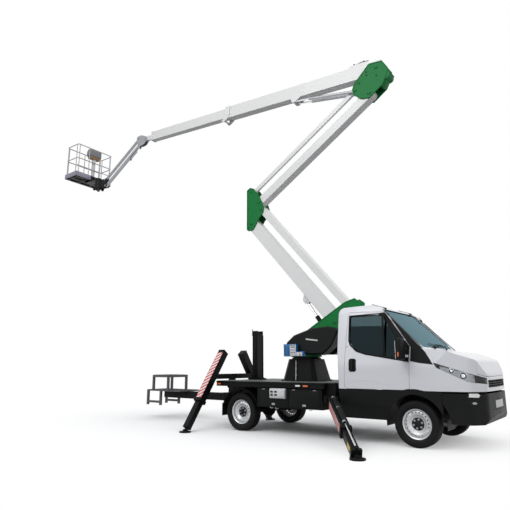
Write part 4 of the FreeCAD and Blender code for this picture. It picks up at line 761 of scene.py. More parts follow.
@dataclass
class CabTrim:
    """Trim of the cab: window frames, pillars, handles, wipers, lamps, mirrors and plates."""

    side_reach: float = 1.3

    def build(self) -> None:
        """Builds every piece of the trim."""
        for side, word in SIDES:
            self.window_frame(side, word)
            self.handle(side, word)
            self.mirror_face(side, word)
            self.door_card(side, word)
        self.pillars()
        self.wheelhouses()
        self.swages()
        self.wipers()
        self.roof_pods()
        self.lamps()
        self.front_plates()

    def _outline(self, side: int, points: Sequence[Pair]) -> list[Vector]:
        """Side-view points, well outside the cab on one side."""
        return [at(x, side * self.side_reach, z) for x, z in points]

    def window_frame(self, side: int, word: str) -> None:
        """Black frame round the door's window, with the bar ahead of the quarter pane.

        Args:
            side: Side of the truck.
            word: Its name.
        """
        shape = Shape()
        way = Vector((0, -side, 0))
        outer = [
            (-1.098, 2.085), (-0.55, 2.098), (-0.437, 2.108), (-0.024, 1.53), (-0.042, 1.283),
            (-0.775, 1.405), (-0.95, 1.46), (-1.07, 1.57), (-1.098, 1.66)]
        inner = [(-1.07, 2.06), (-0.55, 2.062), (-0.49, 2.045), (-0.108, 1.47), (
            -0.118, 1.338), (-0.77, 1.432), (-0.94, 1.484), (-1.05, 1.59), (-1.072, 1.67)]
        for i in range(len(outer)):
            k = (i + 1) % len(outer)
            shape.draped(
                self._outline(side, [outer[i], outer[k], inner[k], inner[i]]), way, f"door_{word}", 0.003,
                0.005, reach=0.2)
        bar = [
            at(-0.475, side * 0.915, 2.075), at(-0.442, side * 0.915, 2.075), at(-0.428, side * 0.962, 1.375),
            at(-0.47, side * 0.962, 1.38)]
        shape.prism(bar, Vector((0, side * 0.01, 0)), 0.002)
        hand_over(shape, f"window_frame_{word}", [TRIM_BLACK], f"door_{word}_panel")

    def handle(self, side: int, word: str) -> None:
        """Upright door handle in its dark dish.

        Args:
            side: Side of the truck.
            word: Its name.
        """
        shape = Shape()
        way = Vector((0, -side, 0))
        dish = [
            (-1.078, 1.155), (-1.055, 1.13), (-0.97, 1.13), (-0.945, 1.155), (-0.945, 1.32), (-0.97, 1.345),
            (-1.055, 1.345), (-1.078, 1.32)]
        shape.draped(self._outline(side, dish), way, f"door_{word}", 0.004, 0.008, 0.03)
        top = at(-1.005, side * 0.997, 1.325)
        low = at(-1.005, side * 0.999, 1.15)
        out = Vector((0, side * 0.02, 0))
        shape.piped([top, top + out, low + out, low], 0.0115, 0.02)
        shape.rod(at(-1.05, side * 0.994, 1.24), at(-1.05, side * 1.003, 1.24), 0.011, sides=20, bevel=0.002)
        hand_over(shape, f"door_handle_{word}", [TRIM_BLACK], f"door_{word}_panel")

    def mirror_face(self, side: int, word: str) -> None:
        """Black mirror head with its two glasses and the repeater on its edge.

        Args:
            side: Side of the truck.
            word: Its name.
        """
        shape = Shape()
        x = -0.1565
        for z, height in ((1.515, 0.19), (1.37, 0.075)):
            shape.block(at(x - 0.001, side * 1.155, z), (0.006, 0.155, height), 0.002)
        shape.paint = 1
        shape.block(at(x + 0.05, side * 1.257, 1.40), (0.022, 0.003, 0.07), 0.0008)
        hand_over(shape, f"mirror_glass_{word}", [MIRROR, LAMP_ORANGE], f"door_{word}_panel")
        shell = Shape()
        low, high = 1.32, 1.65
        shell.block(at(-0.1035, side * 1.155, (low + high) / 2), (0.105, 0.202, high - low + 0.012), 0.034)
        for z in (low + 0.05, high - 0.05):
            shell.rod(at(-0.081, side * 1.0, z), at(-0.081, side * 1.065, z), 0.026, 0.022, 20, 0.004)
        hand_over(shell, f"mirror_shell_{word}", [TRIM_BLACK], f"door_{word}_panel")

    def door_card(self, side: int, word: str) -> None:
        """Inner trim of the door, with its armrest and grab handle.

        Args:
            side: Side of the truck.
            word: Its name.
        """
        shape = Shape()
        skin = [
            at(x, side * 0.936, z)
            for x, z in (
                (-1.13, 0.94), (-0.55, 0.94), (-0.42, 1.05), (-0.14, 1.2), (-0.1, 1.27), (-0.75, 1.37),
                (-0.95, 1.43), (-1.13, 1.56))]
        shape.prism(skin, Vector((0, side * 0.012, 0)), 0.003)
        shape.block(at(-0.72, side * 0.905, 1.16), (0.42, 0.07, 0.06), 0.015)
        shape.piped([
            at(-0.9, side * 0.93, 1.28), at(-0.9, side * 0.89, 1.28), at(-0.62, side * 0.89, 1.25),
            at(-0.62, side * 0.93, 1.25)], 0.012, 0.03)
        hand_over(shape, f"door_card_{word}", [TRIM_GREY], f"door_{word}_panel")

    def pillars(self) -> None:
        """Dark windscreen pillars that run down into the wing beside the bonnet."""
        shape = Shape()
        strip = [(-0.42, 2.125), (
            -0.472, 2.158,
        ), (0.172, 1.492), (0.225, 1.432), (0.335, 1.245), (0.12, 1.27), (-0.02, 1.30), (-0.008, 1.52)]
        shape.draped(
            [at(x, -self.side_reach, z) for x, z in strip], ACROSS, "cab_shell", 0.002, 0.004, 0.03, 0.2)
        way = Vector((-0.6, 0.8, 0))
        across = Vector((0.8, 0.6, 0)) * 0.034
        foot, head = at(0.175, -0.95, 1.5), at(-0.5, -0.82, 2.165)
        shape.draped([
            foot - across, foot + across, head + across, head - across,
        ], way, "cab_shell", 0.002, 0.004, 0.03, 0.75)
        front = [(-0.955, 1.505), (-0.885, 1.505), (-0.755, 2.165), (-0.825, 2.165)]
        shape.draped([at(2, y, z) for y, z in front], -AHEAD, "cab_shell", 0.002, 0.004, 0.03, 0.75)
        shape.mirrored()
        hand_over(shape, "pillar_trims", [TRIM_BLACK], "truck")

    def wheelhouses(self) -> None:
        """Black liners over and behind the front wheels."""
        shape = Shape()
        radius, lip = 0.469, 0.005
        turns = [math.radians(angle) for angle in range(8, 197, 9)]
        for i in range(len(turns) - 1):
            ring = [(radius, turns[i]), (radius, turns[i + 1]), (
                radius - lip, turns[i + 1]), (radius - lip, turns[i])]
            shape.prism(
                [at(math.cos(t) * r * -1, -0.955, 0.35 + math.sin(t) * r) for r, t in ring], ACROSS * 0.40)
        sheet = [
            at(
                -0.474, -0.95, 0.48,
            ), at(-0.474, -0.95, 0.30), at(-0.474, -0.56, 0.30), at(-0.474, -0.56, 0.48)]
        shape.prism(sheet, AHEAD * 0.006, 0.001)
        shape.mirrored()
        hand_over(shape, "wheelhouse_liners", [TRIM_BLACK], "truck")

    def swages(self) -> None:
        """Pressed creases along the doors and over the front wheels."""
        for side, word in SIDES:
            way = Vector((0, -side, 0))
            shape = Shape()
            line = [(-1.17, 0.985), (-0.62, 0.985), (-0.40, 0.935)]
            for i in range(len(line) - 1):
                (x0, z0), (x1, z1) = line[i], line[i + 1]
                corners = [(x0, z0), (x1, z1), (x1, z1 + 0.014), (x0, z0 + 0.014)]
                shape.draped(self._outline(side, corners), way, f"door_{word}", 0.003, 0.005, 0.05)
            hand_over(shape, f"door_swage_{word}", [CAB_WHITE], f"door_{word}_panel")

    def wipers(self) -> None:
        """Two wipers that rest on the foot of the windscreen, each on its pivot."""
        shape = Shape()
        tree = surface("cab_glass")
        for hub_y, tip_y in ((-0.28, 0.42), (0.38, -0.12 - 0.2)):
            spots = []
            for share in (0.0, 0.2, 0.4, 0.6, 0.8, 1.0):
                y = hub_y + (tip_y - hub_y) * share
                z = 1.535 + 0.05 * share
                hit = tree.ray_cast(at(3, y, z), -AHEAD)[0]
                spots.append((hit if hit else at(0.1, y, z)) + Vector((0.012, 0, 0.008)))
            shape.piped(spots, 0.005, 0.02)
            arm = [
                at(0.170, hub_y, 1.516), spots[0] + Vector((0.018, 0, 0.012)),
                spots[3] + Vector((0.016, 0, 0.012))]
            shape.piped(arm, 0.008, 0.03)
            shape.rod(arm[0] - UP * 0.014, arm[0] + UP * 0.008, 0.016, sides=20, bevel=0.003)
        hand_over(shape, "wipers", [TRIM_BLACK], "truck")

    def roof_pods(self) -> None:
        """Two dark marker pods at the front corners of the roof."""
        shape = Shape()
        tree = surface("cab_shell")
        for y in (-0.62, 0.62):
            ends = [tree.ray_cast(at(x, y, 4), -UP)[0] for x in (-0.74, -0.52)]
            turn = axes(ends[1] - ends[0], UP)
            shape.block((ends[0] + ends[1]) / 2 + UP * 0.008, (0.27, 0.06, 0.03), 0.013, turn)
        hand_over(shape, "roof_pods", [TRIM_BLACK], "truck")

    def lamps(self) -> None:
        """Reflector bowls and silver liners inside the lamps, and the pale lamps in the bumper corners."""
        shape = Shape()
        tree = surface("headlamps")
        for x, radius in ((0.585, 0.055), (0.745, 0.068)):
            spots = [tree.ray_cast(at(x, -3, 0.94 + step * 0.01), ACROSS) for step in range(36)]
            spots = [spot for spot in spots if spot[0]]
            point, normal = spots[len(spots) // 2][:2]
            low, high = spots[0][0].z, spots[-1][0].z
            size = min(radius, (high - low) * 0.46)
            spot = point - normal * 0.010
            shape.paint = 0
            shape.lathe([
                (0.0, 0.005), (size * 0.35, 0.004), (size * 0.5, 0.001), (size * 0.52, -0.004), (0.0, -0.004),
            ], spot, normal, 32)
            shape.lathe([
                (size * 0.82, 0.0), (size * 0.88, 0.005), (size * 0.97, 0.004), (size, -0.004),
                (size * 0.82, -0.004)], spot, normal, 32)
            shape.paint = 1
            shape.lathe([
                (0.0, -0.002), (size * 0.84, -0.001), (size * 0.84, -0.006), (0.0, -0.006)], spot, normal, 32)
        shape.mirrored()
        hand_over(shape, "lamp_bowls", [REFLECTOR, HUB_DARK], "truck")
        self.lamp_liners()
        fog = Shape()
        outline = [
            at(2, y, z)
            for y, z in ((-0.905, 0.775), (-0.79, 0.768), (-0.77, 0.80), (-0.79, 0.826), (-0.90, 0.828))]
        fog.draped(outline, -AHEAD, "front_bumper", 0.003, 0.006, 0.03)
        fog.paint = 1
        ring = [
            at(2, y, z)
            for y, z in (
                (-0.90, 0.69), (-0.88, 0.66), (-0.83, 0.655), (-0.80, 0.685), (-0.83, 0.72), (-0.88, 0.722))]
        fog.draped(ring, -AHEAD, "front_bumper", 0.004, 0.006, 0.03)
        fog.paint = 2
        core = [
            at(2, y, z)
            for y, z in ((-0.88, 0.69), (-0.87, 0.676), (-0.84, 0.674), (
                -0.822, 0.688), (-0.84, 0.704), (-0.87, 0.704))]
        fog.draped(core, -AHEAD, "front_bumper", 0.006, 0.004, 0.03)
        fog.mirrored()
        hand_over(fog, "bumper_lamps", [LAMP_WHITE, HUB_DARK, STEEL], "truck")

    def lamp_liners(self) -> None:
        """Linings a little inside the lamps' lenses, silver in their front part and dark behind."""
        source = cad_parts["headlamps"]
        part = bmesh.new()
        part.from_mesh(source.data)
        bmesh.ops.remove_doubles(part, verts=part.verts[:], dist=1e-6)
        bmesh.ops.transform(part, matrix=source.matrix_world, verts=part.verts[:])
        for x in (0.44, 0.88):
            bmesh.ops.bisect_plane(
                part, geom=part.verts[:] + part.edges[:] + part.faces[:], plane_co=at(
                    x, 0, 0), plane_no=AHEAD)
        for v in part.verts:
            v.co += Vector((-0.016, -0.012 if v.co.y > 0 else 0.012, -0.004))
        first, last = at(0.44, 0, 0).x - 0.016, at(0.88, 0, 0).x - 0.016
        for f in part.faces:
            f.material_index = 0 if first < f.calc_center_median().x < last else 1
        shape = Shape()
        shape.bm.free()
        shape.bm = part
        hand_over(shape, "lamp_liners", [LINER, TRIM_BLACK], "truck")

    def front_plates(self) -> None:
        """Bare number plate and lower air slots on the bumper."""
        shape = Shape()
        outline = [at(2, y, z) for y, z in ((-0.26, 0.60), (0.26, 0.60), (0.26, 0.71), (-0.26, 0.71))]
        shape.draped(outline, -AHEAD, "front_bumper", 0.0012, 0.004, 0.1)
        shape.paint = 1
        for z in (0.47, 0.505, 0.54):
            slot = [at(2, y, zz) for y, zz in ((-0.42, z), (0.42, z), (0.40, z + 0.018), (-0.40, z + 0.018))]
            shape.draped(slot, -AHEAD, "front_bumper", 0.0008, 0.004, 0.06)
        hand_over(shape, "front_plate", [PLATE_BARE, HUB_DARK], "truck")


# Wheels


@dataclass
class Wheel:
    """One wheel: slotted steel rim, tyre with tread blocks, dark hub and its nuts.

    Attributes:
        name: Its place, such as front_left.
        side: Its side of the truck.
        x: Place of its axle.
    """

    name: str
    side: int
    x: float
    radius: float = 0.35
    track_half: float = 0.85
    wall: Outline = (
        (0.222, 0.072), (0.236, 0.094), (0.262, 0.1085), (0.268, 0.1115), (0.274, 0.1095), (0.300, 0.1125),
        (0.304, 0.1105), (0.318, 0.1105), (0.334, 0.102), (0.342, 0.088))
    rows: Sequence[tuple[float, float, float, float]] = (
        (-0.082, 0.026, -14, 0.0022), (-0.0435, 0.030, 10, 0.0), (0.0, 0.030, -10, 0.0),
        (0.0435, 0.030, 10, 0.0), (0.082, 0.026, 14, 0.0022))
    pitches: int = 56
    tread_share: float = 0.82
    tread_depth: float = 0.0125
    tread_sink: float = 0.0065
    well: Outline = (
        (0.221, 0.0765), (0.226, 0.079), (0.228, 0.074), (0.214, 0.066), (0.205, 0.03), (0.198, 0.0),
        (0.203, -0.04), (0.214, -0.066), (0.226, -0.074), (0.224, -0.079), (0.212, -0.071), (0.199, -0.045),
        (0.192, 0.0), (0.199, 0.034), (0.207, 0.067))
    disc: Outline = (
        (0.205, 0.034), (0.196, 0.052), (0.184, 0.058), (0.168, 0.060), (0.152, 0.058), (0.138, 0.048),
        (0.120, 0.034), (0.110, 0.027), (0.09, 0.026), (0.034, 0.028))
    disc_wall: Pair = (0.001, 0.006)
    slots: int = 20
    slot_ring: Pair = (0.166, 0.188)
    slot_rim: Pair = (0.160, 0.192)
    slot_share: float = 0.52
    rim_steps: int = 120
    cap: Outline = (
        (0.0, 0.062), (0.02, 0.061), (0.033, 0.056), (0.036, 0.04), (0.055, 0.034), (0.092, 0.031),
        (0.098, 0.027), (0.098, 0.022), (0.0, 0.022))
    nuts: int = 6
    nut_circle: float = 0.068
    nut_turn: float = 0.3
    nut_parts: Sequence[tuple[float, float, float, int, float]] = (
        (0.030, 0.036, 0.017, 20, 0.0), (0.035, 0.054, 0.0125, 6, 0.0015), (0.053, 0.062, 0.006, 12, 0.001))
    valve_turn: float = 1.1
    valve_circle: float = 0.205
    valve_span: Pair = (0.05, 0.074)
    valve_lean: float = 0.006
    valve_radius: float = 0.004

    def build(self) -> None:
        """Builds the tyre, rim and hub of the wheel."""
        self.body = f"wheel_{self.name}"
        self.centre = beside(self.side, self.x, self.track_half, self.radius)
        self.out = ACROSS * self.side
        self.tyre()
        self.rim()
        self.hub()

    def tyre(self) -> None:
        """Carcass with moulded side rings, and rows of tread blocks up to the CAD radius."""
        shape = Shape()
        inner_wall = [(r, -place) for r, place in reversed(self.wall)]
        shape.lathe([*self.wall, *inner_wall], self.centre, self.out, 96)
        pitch = math.tau / self.pitches
        length = pitch * self.radius * self.tread_share
        for k, (offset, width, lean, drop) in enumerate(self.rows):
            up = Matrix.Translation((0, offset, self.radius - self.tread_sink - drop))
            size = Matrix.Diagonal((length, width, self.tread_depth, 1))
            block = up @ Matrix.Rotation(math.radians(lean), 4, "Z") @ size
            for i in range(self.pitches):
                spin = Matrix.Rotation(pitch * (i + 0.5 * (k % 2)), 4, "Y")
                place = Matrix.Translation(self.centre) @ spin @ block
                bmesh.ops.create_cube(shape.bm, size=1, matrix=place)
        hand_over(shape, f"tread_{self.name}", [RUBBER], self.body, [f"tyre_{self.name}"])

    def _spoke(self, spot: Vector) -> Vector:
        """Way from the wheel's axis straight out to a point."""
        off = spot - self.centre
        return off - self.out * off.dot(self.out)

    def rim(self) -> None:
        """Well, dished disc with its ring of slots, and flanges."""
        shape = Shape()
        shape.lathe(self.well, self.centre, self.out, self.rim_steps)
        thin, deep = self.disc_wall
        back = [(r - thin, place - deep) for r, place in reversed(self.disc)]
        faces = shape.lathe([*self.disc, *back], self.centre, self.out, self.rim_steps)
        pitch = math.tau / self.slots
        holes = []
        for f in faces:
            spoke = self._spoke(f.calc_center_median())
            inside = self.slot_ring[0] < spoke.length < self.slot_ring[1]
            if inside and math.atan2(spoke.z, spoke.x) % pitch < pitch * self.slot_share:
                holes.append(f)
        bmesh.ops.delete(shape.bm, geom=holes, context="FACES")
        low, high = self.slot_rim
        open_edges = [e for e in shape.bm.edges if e.is_boundary]
        edges = [e for e in open_edges if low < self._spoke(e.verts[0].co).length < high]
        wall_slots(shape, edges)
        hand_over(shape, f"disc_{self.name}", [RIM_SILVER], self.body, [f"rim_{self.name}"])

    def hub(self) -> None:
        """Dark hub cover with its nuts and the valve."""
        shape = Shape()
        shape.lathe(self.cap, self.centre, self.out, 48)
        shape.paint = 1
        for i in range(self.nuts):
            turn = math.tau * i / self.nuts + self.nut_turn
            spot = self.centre + Vector((math.cos(turn), 0, math.sin(turn))) * self.nut_circle
            for start, end, radius, sides, bevel in self.nut_parts:
                shape.rod(spot + self.out * start, spot + self.out * end, radius, sides=sides, bevel=bevel)
        spoke = Vector((math.cos(self.valve_turn), 0, math.sin(self.valve_turn)))
        root, tip = (self.centre + spoke * self.valve_circle + self.out * place for place in self.valve_span)
        shape.rod(root, tip - spoke * self.valve_lean, self.valve_radius, sides=10)
        hand_over(shape, f"hub_{self.name}", [HUB_DARK, STEEL], self.body)


def wall_slots(shape: Shape, edges: Sequence[bmesh.types.BMEdge]) -> None:
    """Gives slots their side walls by joining each one's front edges to its back edges.

    Args:
        shape: What has the slots.
        edges: Edges round the openings.
    """
    loose = dict.fromkeys(edges)
    loops = []
    while loose:
        loop = [loose.popitem()[0]]
        for edge in loop:
            for near in (e for v in edge.verts for e in v.link_edges if e in loose):
                del loose[near]
                loop.append(near)
        loops.append(loop)
    middles = [sum((e.verts[0].co for e in loop), Vector()) / len(loop) for loop in loops]
    while loops:
        loop, middle = loops.pop(), middles.pop()
        twin = min(range(len(loops)), key=lambda k: (middles[k] - middle).length)
        bmesh.ops.bridge_loops(shape.bm, edges=loop + loops.pop(twin))
        middles.pop(twin)


# Seats


@dataclass
class SeatSet:
    """Two cab seats with crowned cushions, side bolsters and head rests."""

    rear_x: float = -1.2
    floor_z: float = 0.88
    places: Sequence[tuple[float, str]] = ((-0.45, "right"), (0.45, "left"))
    base: Blocks = (((0.24, 0.0, 0.1), (0.40, 0.40, 0.2)), ((0.24, 0.0, 0.205), (0.44, 0.45, 0.02)))
    base_rounds: Pair = (0.02, 0.008)
    stay_x: float = 0.075
    stay_half: float = 0.06
    stay_span: Pair = (0.80, 0.86)
    stay_radius: float = 0.006
    back_lean: float = -3.0
    cushions: Sequence[tuple[str, Triple, Triple, float, float, bool]] = (
        ("squab", (0.245, 0.0, 0.27), (0.425, 0.46, 0.11), 0.030, 0.7, False),
        ("back", (0.07, 0.0, 0.56), (0.105, 0.46, 0.50), 0.026, 0.7, True),
        ("head", (0.07, 0.0, 0.895), (0.09, 0.27, 0.13), 0.02, 0.8, True))
    cuts: int = 9
    inset: float = 0.018
    pull: float = 0.05
    channel_share: float = 0.62
    channel_half_share: float = 0.09
    channel_depth: float = 0.008
    side_tilt: float = 0.6

    def _spot(self, y: float, place: Triple) -> Vector:
        """Point of a seat, from the middle of its rear edge on the cab's floor."""
        return at(self.rear_x + place[0], y + place[1], self.floor_z + place[2])

    def build(self) -> None:
        """Builds both seats in place of the plain CAD seats."""
        base = Shape()
        for y, _ in self.places:
            for (place, size), bevel in zip(self.base, self.base_rounds):
                base.block(self._spot(y, place), size, bevel)
            for k in BOTH:
                ends = (self._spot(y, (self.stay_x, k * self.stay_half, z)) for z in self.stay_span)
                base.rod(*ends, self.stay_radius, sides=12)
        hand_over(base, "seat_bases", [TRIM_GREY], "truck", ["seats"])
        for y, word in self.places:
            for part, place, size, crown, fill, leans in self.cushions:
                turn = Matrix.Rotation(math.radians(self.back_lean if leans else 0), 3, "Y")
                self.cushion(f"seat_{part}_{word}", self._spot(y, place), size, turn, crown)

    def cushion(
        self, name: str, centre: Vector, size: Sequence[float], turn: Matrix, crown: float,
    ) -> None:
        """Padded piece whose faces swell and whose sides pull in between its corners.

        Args:
            name: Name of the piece.
            centre: Its middle.
            size: Its three lengths.
            turn: Its rotation.
            crown: How far the middle of its faces swells.
        """
        shape = Shape()
        bmesh.ops.create_cube(shape.bm, size=2)
        bmesh.ops.subdivide_edges(shape.bm, edges=shape.bm.edges[:], cuts=self.cuts, use_grid_fill=True)
        thin = size.index(min(size))
        wide, long = (i for i in range(3) if i != thin)
        for v in shape.bm.verts:
            c = v.co.copy()
            shrink = 1 - self.pull * (sum(abs(share) ** 4 for share in c) - 1)
            spot = Vector(c[i] * (size[i] / 2 - self.inset) * shrink for i in range(3))
            if abs(c[thin]) > 0.99:
                swell = (1 - c[wide] ** 2) * (1 - c[long] ** 2) * crown
                off = abs(abs(c[wide]) - self.channel_share) / self.channel_half_share
                spot[thin] += math.copysign(swell - max(0.0, 1 - off) * self.channel_depth, c[thin])
            v.co = centre + turn @ spot
        bmesh.ops.smooth_vert(
            shape.bm, verts=shape.bm.verts[:], factor=0.5, use_axis_x=True, use_axis_y=True, use_axis_z=True)
        for f in shape.bm.faces:
            f.material_index = 1 if abs(f.normal.y) > self.side_tilt else 0
        piece = hand_over(shape, name, [CLOTH, CLOTH_EDGE], "truck")
        rounding = piece.modifiers.new("rounding", "SUBSURF")
        rounding.levels = rounding.render_levels = 1


# Superstructure


def level(spot: Pair, y: float = 0.0) -> Vector:
    """Side-view point of the mast at a distance from its middle plane."""
    return at(spot[0], y, spot[1])


@dataclass
class DeckTrim:
    """Deck sheet, side markers, lockers' doors, stowage box, rear lamps and the pedestal's flange."""

    rear: float = -4.04
    front: float = -1.42
    half: float = 1.0
    top: float = 0.93
    sheet: float = 0.003
    notch: Pair = (0.15, 0.13)
    markers: tuple = ((-3.97, 1), (-1.93, 1), (-2.09, 2))

    def build(self) -> None:
        """Builds every piece of the deck's trim."""
        self.sheet_metal()
        self.side_markers()
        self.locker_doors()
        self.stowage_box()
        self.pedestal_flange()
        self.rest_post()
        self.rear_end()
        self.step_trim()

    def sheet_metal(self) -> None:
        """Grey anti-slip sheet on the deck, cut out at the front brackets."""
        shape = Shape()
        back, side = self.notch
        inner = self.half - side
        lip = 0.006
        outline = [(self.rear + lip, -self.half + lip), (
            self.front - back - lip, -self.half + lip,
        ), (self.front - back - lip, -inner + lip), (self.front - lip, -inner + lip)]
        outline += [(x, -y) for x, y in reversed(outline)]
        shape.prism([at(x, y, self.top) for x, y in outline], UP * self.sheet, 0.0008)
        hand_over(shape, "deck_sheet", [DECK_GREY], "truck")
        edge = Shape()
        for side in BOTH:
            y = side * (self.half + 0.004)
            edge.block(
                at((self.rear + self.front - back) / 2, y, self.top - 0.016),
                (self.front - back - self.rear, 0.012, 0.036), 0.003)
            for x in (-3.75, -3.3, -2.85, -2.4, -1.75):
                edge.block(at(x, side * (self.half - 0.03), 0.815), (0.012, 0.05, 0.03), 0.002)
                edge.bolt(
                    at(x + 0.06, side * (self.half + 0.0005), 0.862), Vector((0, side, 0)), 0.006, 0.004)
        hand_over(edge, "deck_edges", [CHASSIS_BLACK], "truck")

    def side_markers(self) -> None:
        """Orange side markers and the pale reflector between them."""
        shape = Shape()
        for x, paint in self.markers:
            for side in BOTH:
                shape.paint = 0
                shape.block(at(x, side * (self.half + 0.006), 0.872), (0.118, 0.012, 0.042), 0.004)
                shape.paint = paint
                shape.block(at(x, side * (self.half + 0.016), 0.872), (0.1, 0.016, 0.03), 0.006)
        hand_over(shape, "side_markers", [TRIM_BLACK, LAMP_ORANGE, LAMP_WHITE], "truck")

    def locker_doors(self) -> None:
        """Framed doors, hinges and latches on the side lockers."""
        shape = Shape()
        for side in BOTH:
            face = side * 0.98
            for x0, x1 in ((-2.96, -2.32), (-2.29, -1.66)):
                middle, width = (x0 + x1) / 2, x1 - x0
                shape.paint = 0
                shape.block(at(middle, face + side * 0.004, 0.65), (width, 0.012, 0.31), 0.004)
                shape.block(at(middle, face + side * 0.011, 0.65), (width - 0.07, 0.006, 0.24), 0.0025)
                shape.paint = 1
                for x in (x0 + 0.1, x1 - 0.1):
                    shape.rod(
                        at(x - 0.03, face + side * 0.013, 0.798), at(x + 0.03, face + side * 0.013, 0.798),
                        0.006, sides=12)
                latch = at(middle, face + side * 0.016, 0.535)
                shape.block(latch, (0.07, 0.008, 0.035), 0.003)
                shape.rod(
                    latch - AHEAD * 0.018 + ACROSS * side * 0.006,
                    latch + AHEAD * 0.018 + ACROSS * side * 0.006, 0.006, sides=12, bevel=0.001)
            for x, z in ((-2.72, 0.46), (-2.6, 0.452), (-1.885, 0.455)):
                shape.piped([
                    at(x, face - side * 0.02, z + 0.03), at(x, face + side * 0.012, z + 0.02),
                    at(x + 0.03, face + side * 0.012, z), at(x + 0.07, face + side * 0.01, z + 0.012),
                ], 0.006, 0.01)
        hand_over(shape, "locker_doors", [SUPPORT_BLACK, STEEL], "truck")

    def stowage_box(self) -> None:
        """Pale box on the right side, with four dark windows and its strap."""
        shape = Shape()
        middle = at(-2.533, -1.004, 0.727)
        shape.block(middle, (0.352, 0.05, 0.178), 0.012)
        shape.block(middle - ACROSS * 0.027, (0.33, 0.008, 0.156), 0.003)
        shape.paint = 1
        for dx in (-0.118, -0.03):
            for dz in (-0.026, 0.03):
                shape.block(middle + Vector((dx, -0.0315, dz)), (0.056, 0.004, 0.034), 0.002)
        shape.paint = 2
        shape.block(middle + Vector((0.164, -0.004, 0)), (0.03, 0.052, 0.15), 0.006)
        for dz in (-0.05, 0.05):
            shape.bolt(middle + Vector((0.13, -0.031, dz)), -ACROSS, 0.005, 0.004)
        hand_over(shape, "stowage_box", [PANEL_PALE, HUB_DARK, CONSOLE_GREY], "truck")

    def pedestal_flange(self) -> None:
        """Bolted foot flange and top rim of the pedestal, with the pale pipe up its right face."""
        shape = Shape()
        spot = -2.5
        corners = [
            (-0.43, -0.30), (-0.35, -0.38), (0.35, -0.38), (0.43, -0.30), (0.43, 0.30), (0.35, 0.38),
            (-0.35, 0.38), (-0.43, 0.30)]
        shape.prism([at(spot + x, y, self.top + self.sheet) for x, y in corners], UP * 0.014, 0.003)
        for x, y in (
            (-0.36, -0.345), (-0.12, -0.362), (0.12, -0.362), (0.36, -0.345), (0.415, 0.0), (-0.415, 0.0),
            (-0.36, 0.345), (-0.12, 0.362), (0.12, 0.362), (0.36, 0.345),
        ):
            shape.bolt(at(spot + x, y, self.top + self.sheet + 0.014), UP, 0.011, 0.009)
        ring = [(0.262, 0.0), (0.292, 0.0), (0.296, 0.006), (0.296, 0.022), (0.290, 0.026), (0.262, 0.026)]
        shape.lathe(ring, at(spot, 0, 1.352), UP, 72)
        for i in range(24):
            shape.bolt(on_circle(at(spot, 0, 1.378), 0.281, math.tau * i / 24), UP, 0.007, 0.005)
        hand_over(shape, "pedestal_flange", [SUPPORT_BLACK], "truck")
        pipe = Shape()
        pipe.piped([
            at(-2.534, -0.372, 0.947), at(-2.534, -0.366, 1.0), at(-2.56, -0.309, 1.33),
            at(-2.56, -0.285, 1.352)], 0.008, 0.05)
        for share in (0.15, 0.5, 0.85):
            z = 1.0 + 0.33 * share
            pipe.block(
                at(-2.534 - 0.026 * share, -0.366 + 0.057 * share + 0.006, z), (0.036, 0.012, 0.016), 0.003)
        hand_over(pipe, "pedestal_pipe", [BASKET_GREY], "truck")

    def rest_post(self) -> None:
        """Angle irons up the rest post, its rubber saddle and the pointed guide at its rear."""
        shape = Shape()
        x, half = -3.73, 0.105
        for side in BOTH:
            for k in BOTH:
                shape.block(at(x + k * 0.062, side * (half - 0.01), 1.42), (0.008, 0.036, 0.92), 0.002)
            shape.block(at(x, side * (half + 0.003), 1.42), (0.05, 0.008, 0.92), 0.002)
            shape.bolt(at(x, side * (half + 0.006), 1.05), ACROSS * side, 0.009, 0.006)
            shape.bolt(at(x, side * (half + 0.006), 1.75), ACROSS * side, 0.009, 0.006)
        shape.rod(at(x - 0.068, -0.108, 1.86), at(x - 0.068, -0.108, 1.97), 0.011, 0.010, 16)
        shape.rod(at(x - 0.068, -0.108, 1.97), at(x - 0.068, -0.108, 2.02), 0.010, 0.003, 16)
        shape.paint = 1
        shape.block(at(x, 0, 1.903), (0.115, 0.148, 0.016), 0.004)
        for k in BOTH:
            shape.block(at(x + k * 0.1, 0, 0.966), (0.08, 0.17, 0.008), 0.002)
            for y in (-0.06, 0.06):
                shape.bolt(at(x + k * 0.105, y, 0.97), UP, 0.011, 0.008)
        hand_over(shape, "rest_post_trim", [SUPPORT_BLACK, TRIM_BLACK], "truck")

    def rear_end(self) -> None:
        """Rear lamps, reflectors and bare number plate under the deck's rear edge."""
        shape = Shape()
        for side in BOTH:
            shape.paint = 0
            shape.block(at(self.rear - 0.012, side * 0.80, 0.865), (0.028, 0.30, 0.07), 0.008)
            for dy, paint, width in ((-0.09, 1, 0.07), (-0.01, 2, 0.07), (0.08, 1, 0.08)):
                shape.paint = paint
                shape.block(at(self.rear - 0.03, side * (0.80 - dy), 0.865), (0.016, width, 0.052), 0.006)
        shape.paint = 3
        shape.block(at(self.rear - 0.006, 0.0, 0.865), (0.008, 0.40, 0.062), 0.002)
        hand_over(shape, "rear_lamps", [TRIM_BLACK, LAMP_RED, LAMP_ORANGE, PLATE_BARE], "truck")
        flaps = Shape()
        for side in BOTH:
            flaps.prism([
                at(-3.905, side * (0.85 + k * 0.125), z)
                for k, z in ((-1, 0.26), (1, 0.26), (1, 0.49), (-1, 0.49))], AHEAD * 0.006, 0.001)
            flaps.block(at(-3.895, side * 0.85, 0.485), (0.02, 0.25, 0.03), 0.003)
        hand_over(flaps, "mud_flaps", [TRIM_BLACK], "truck")

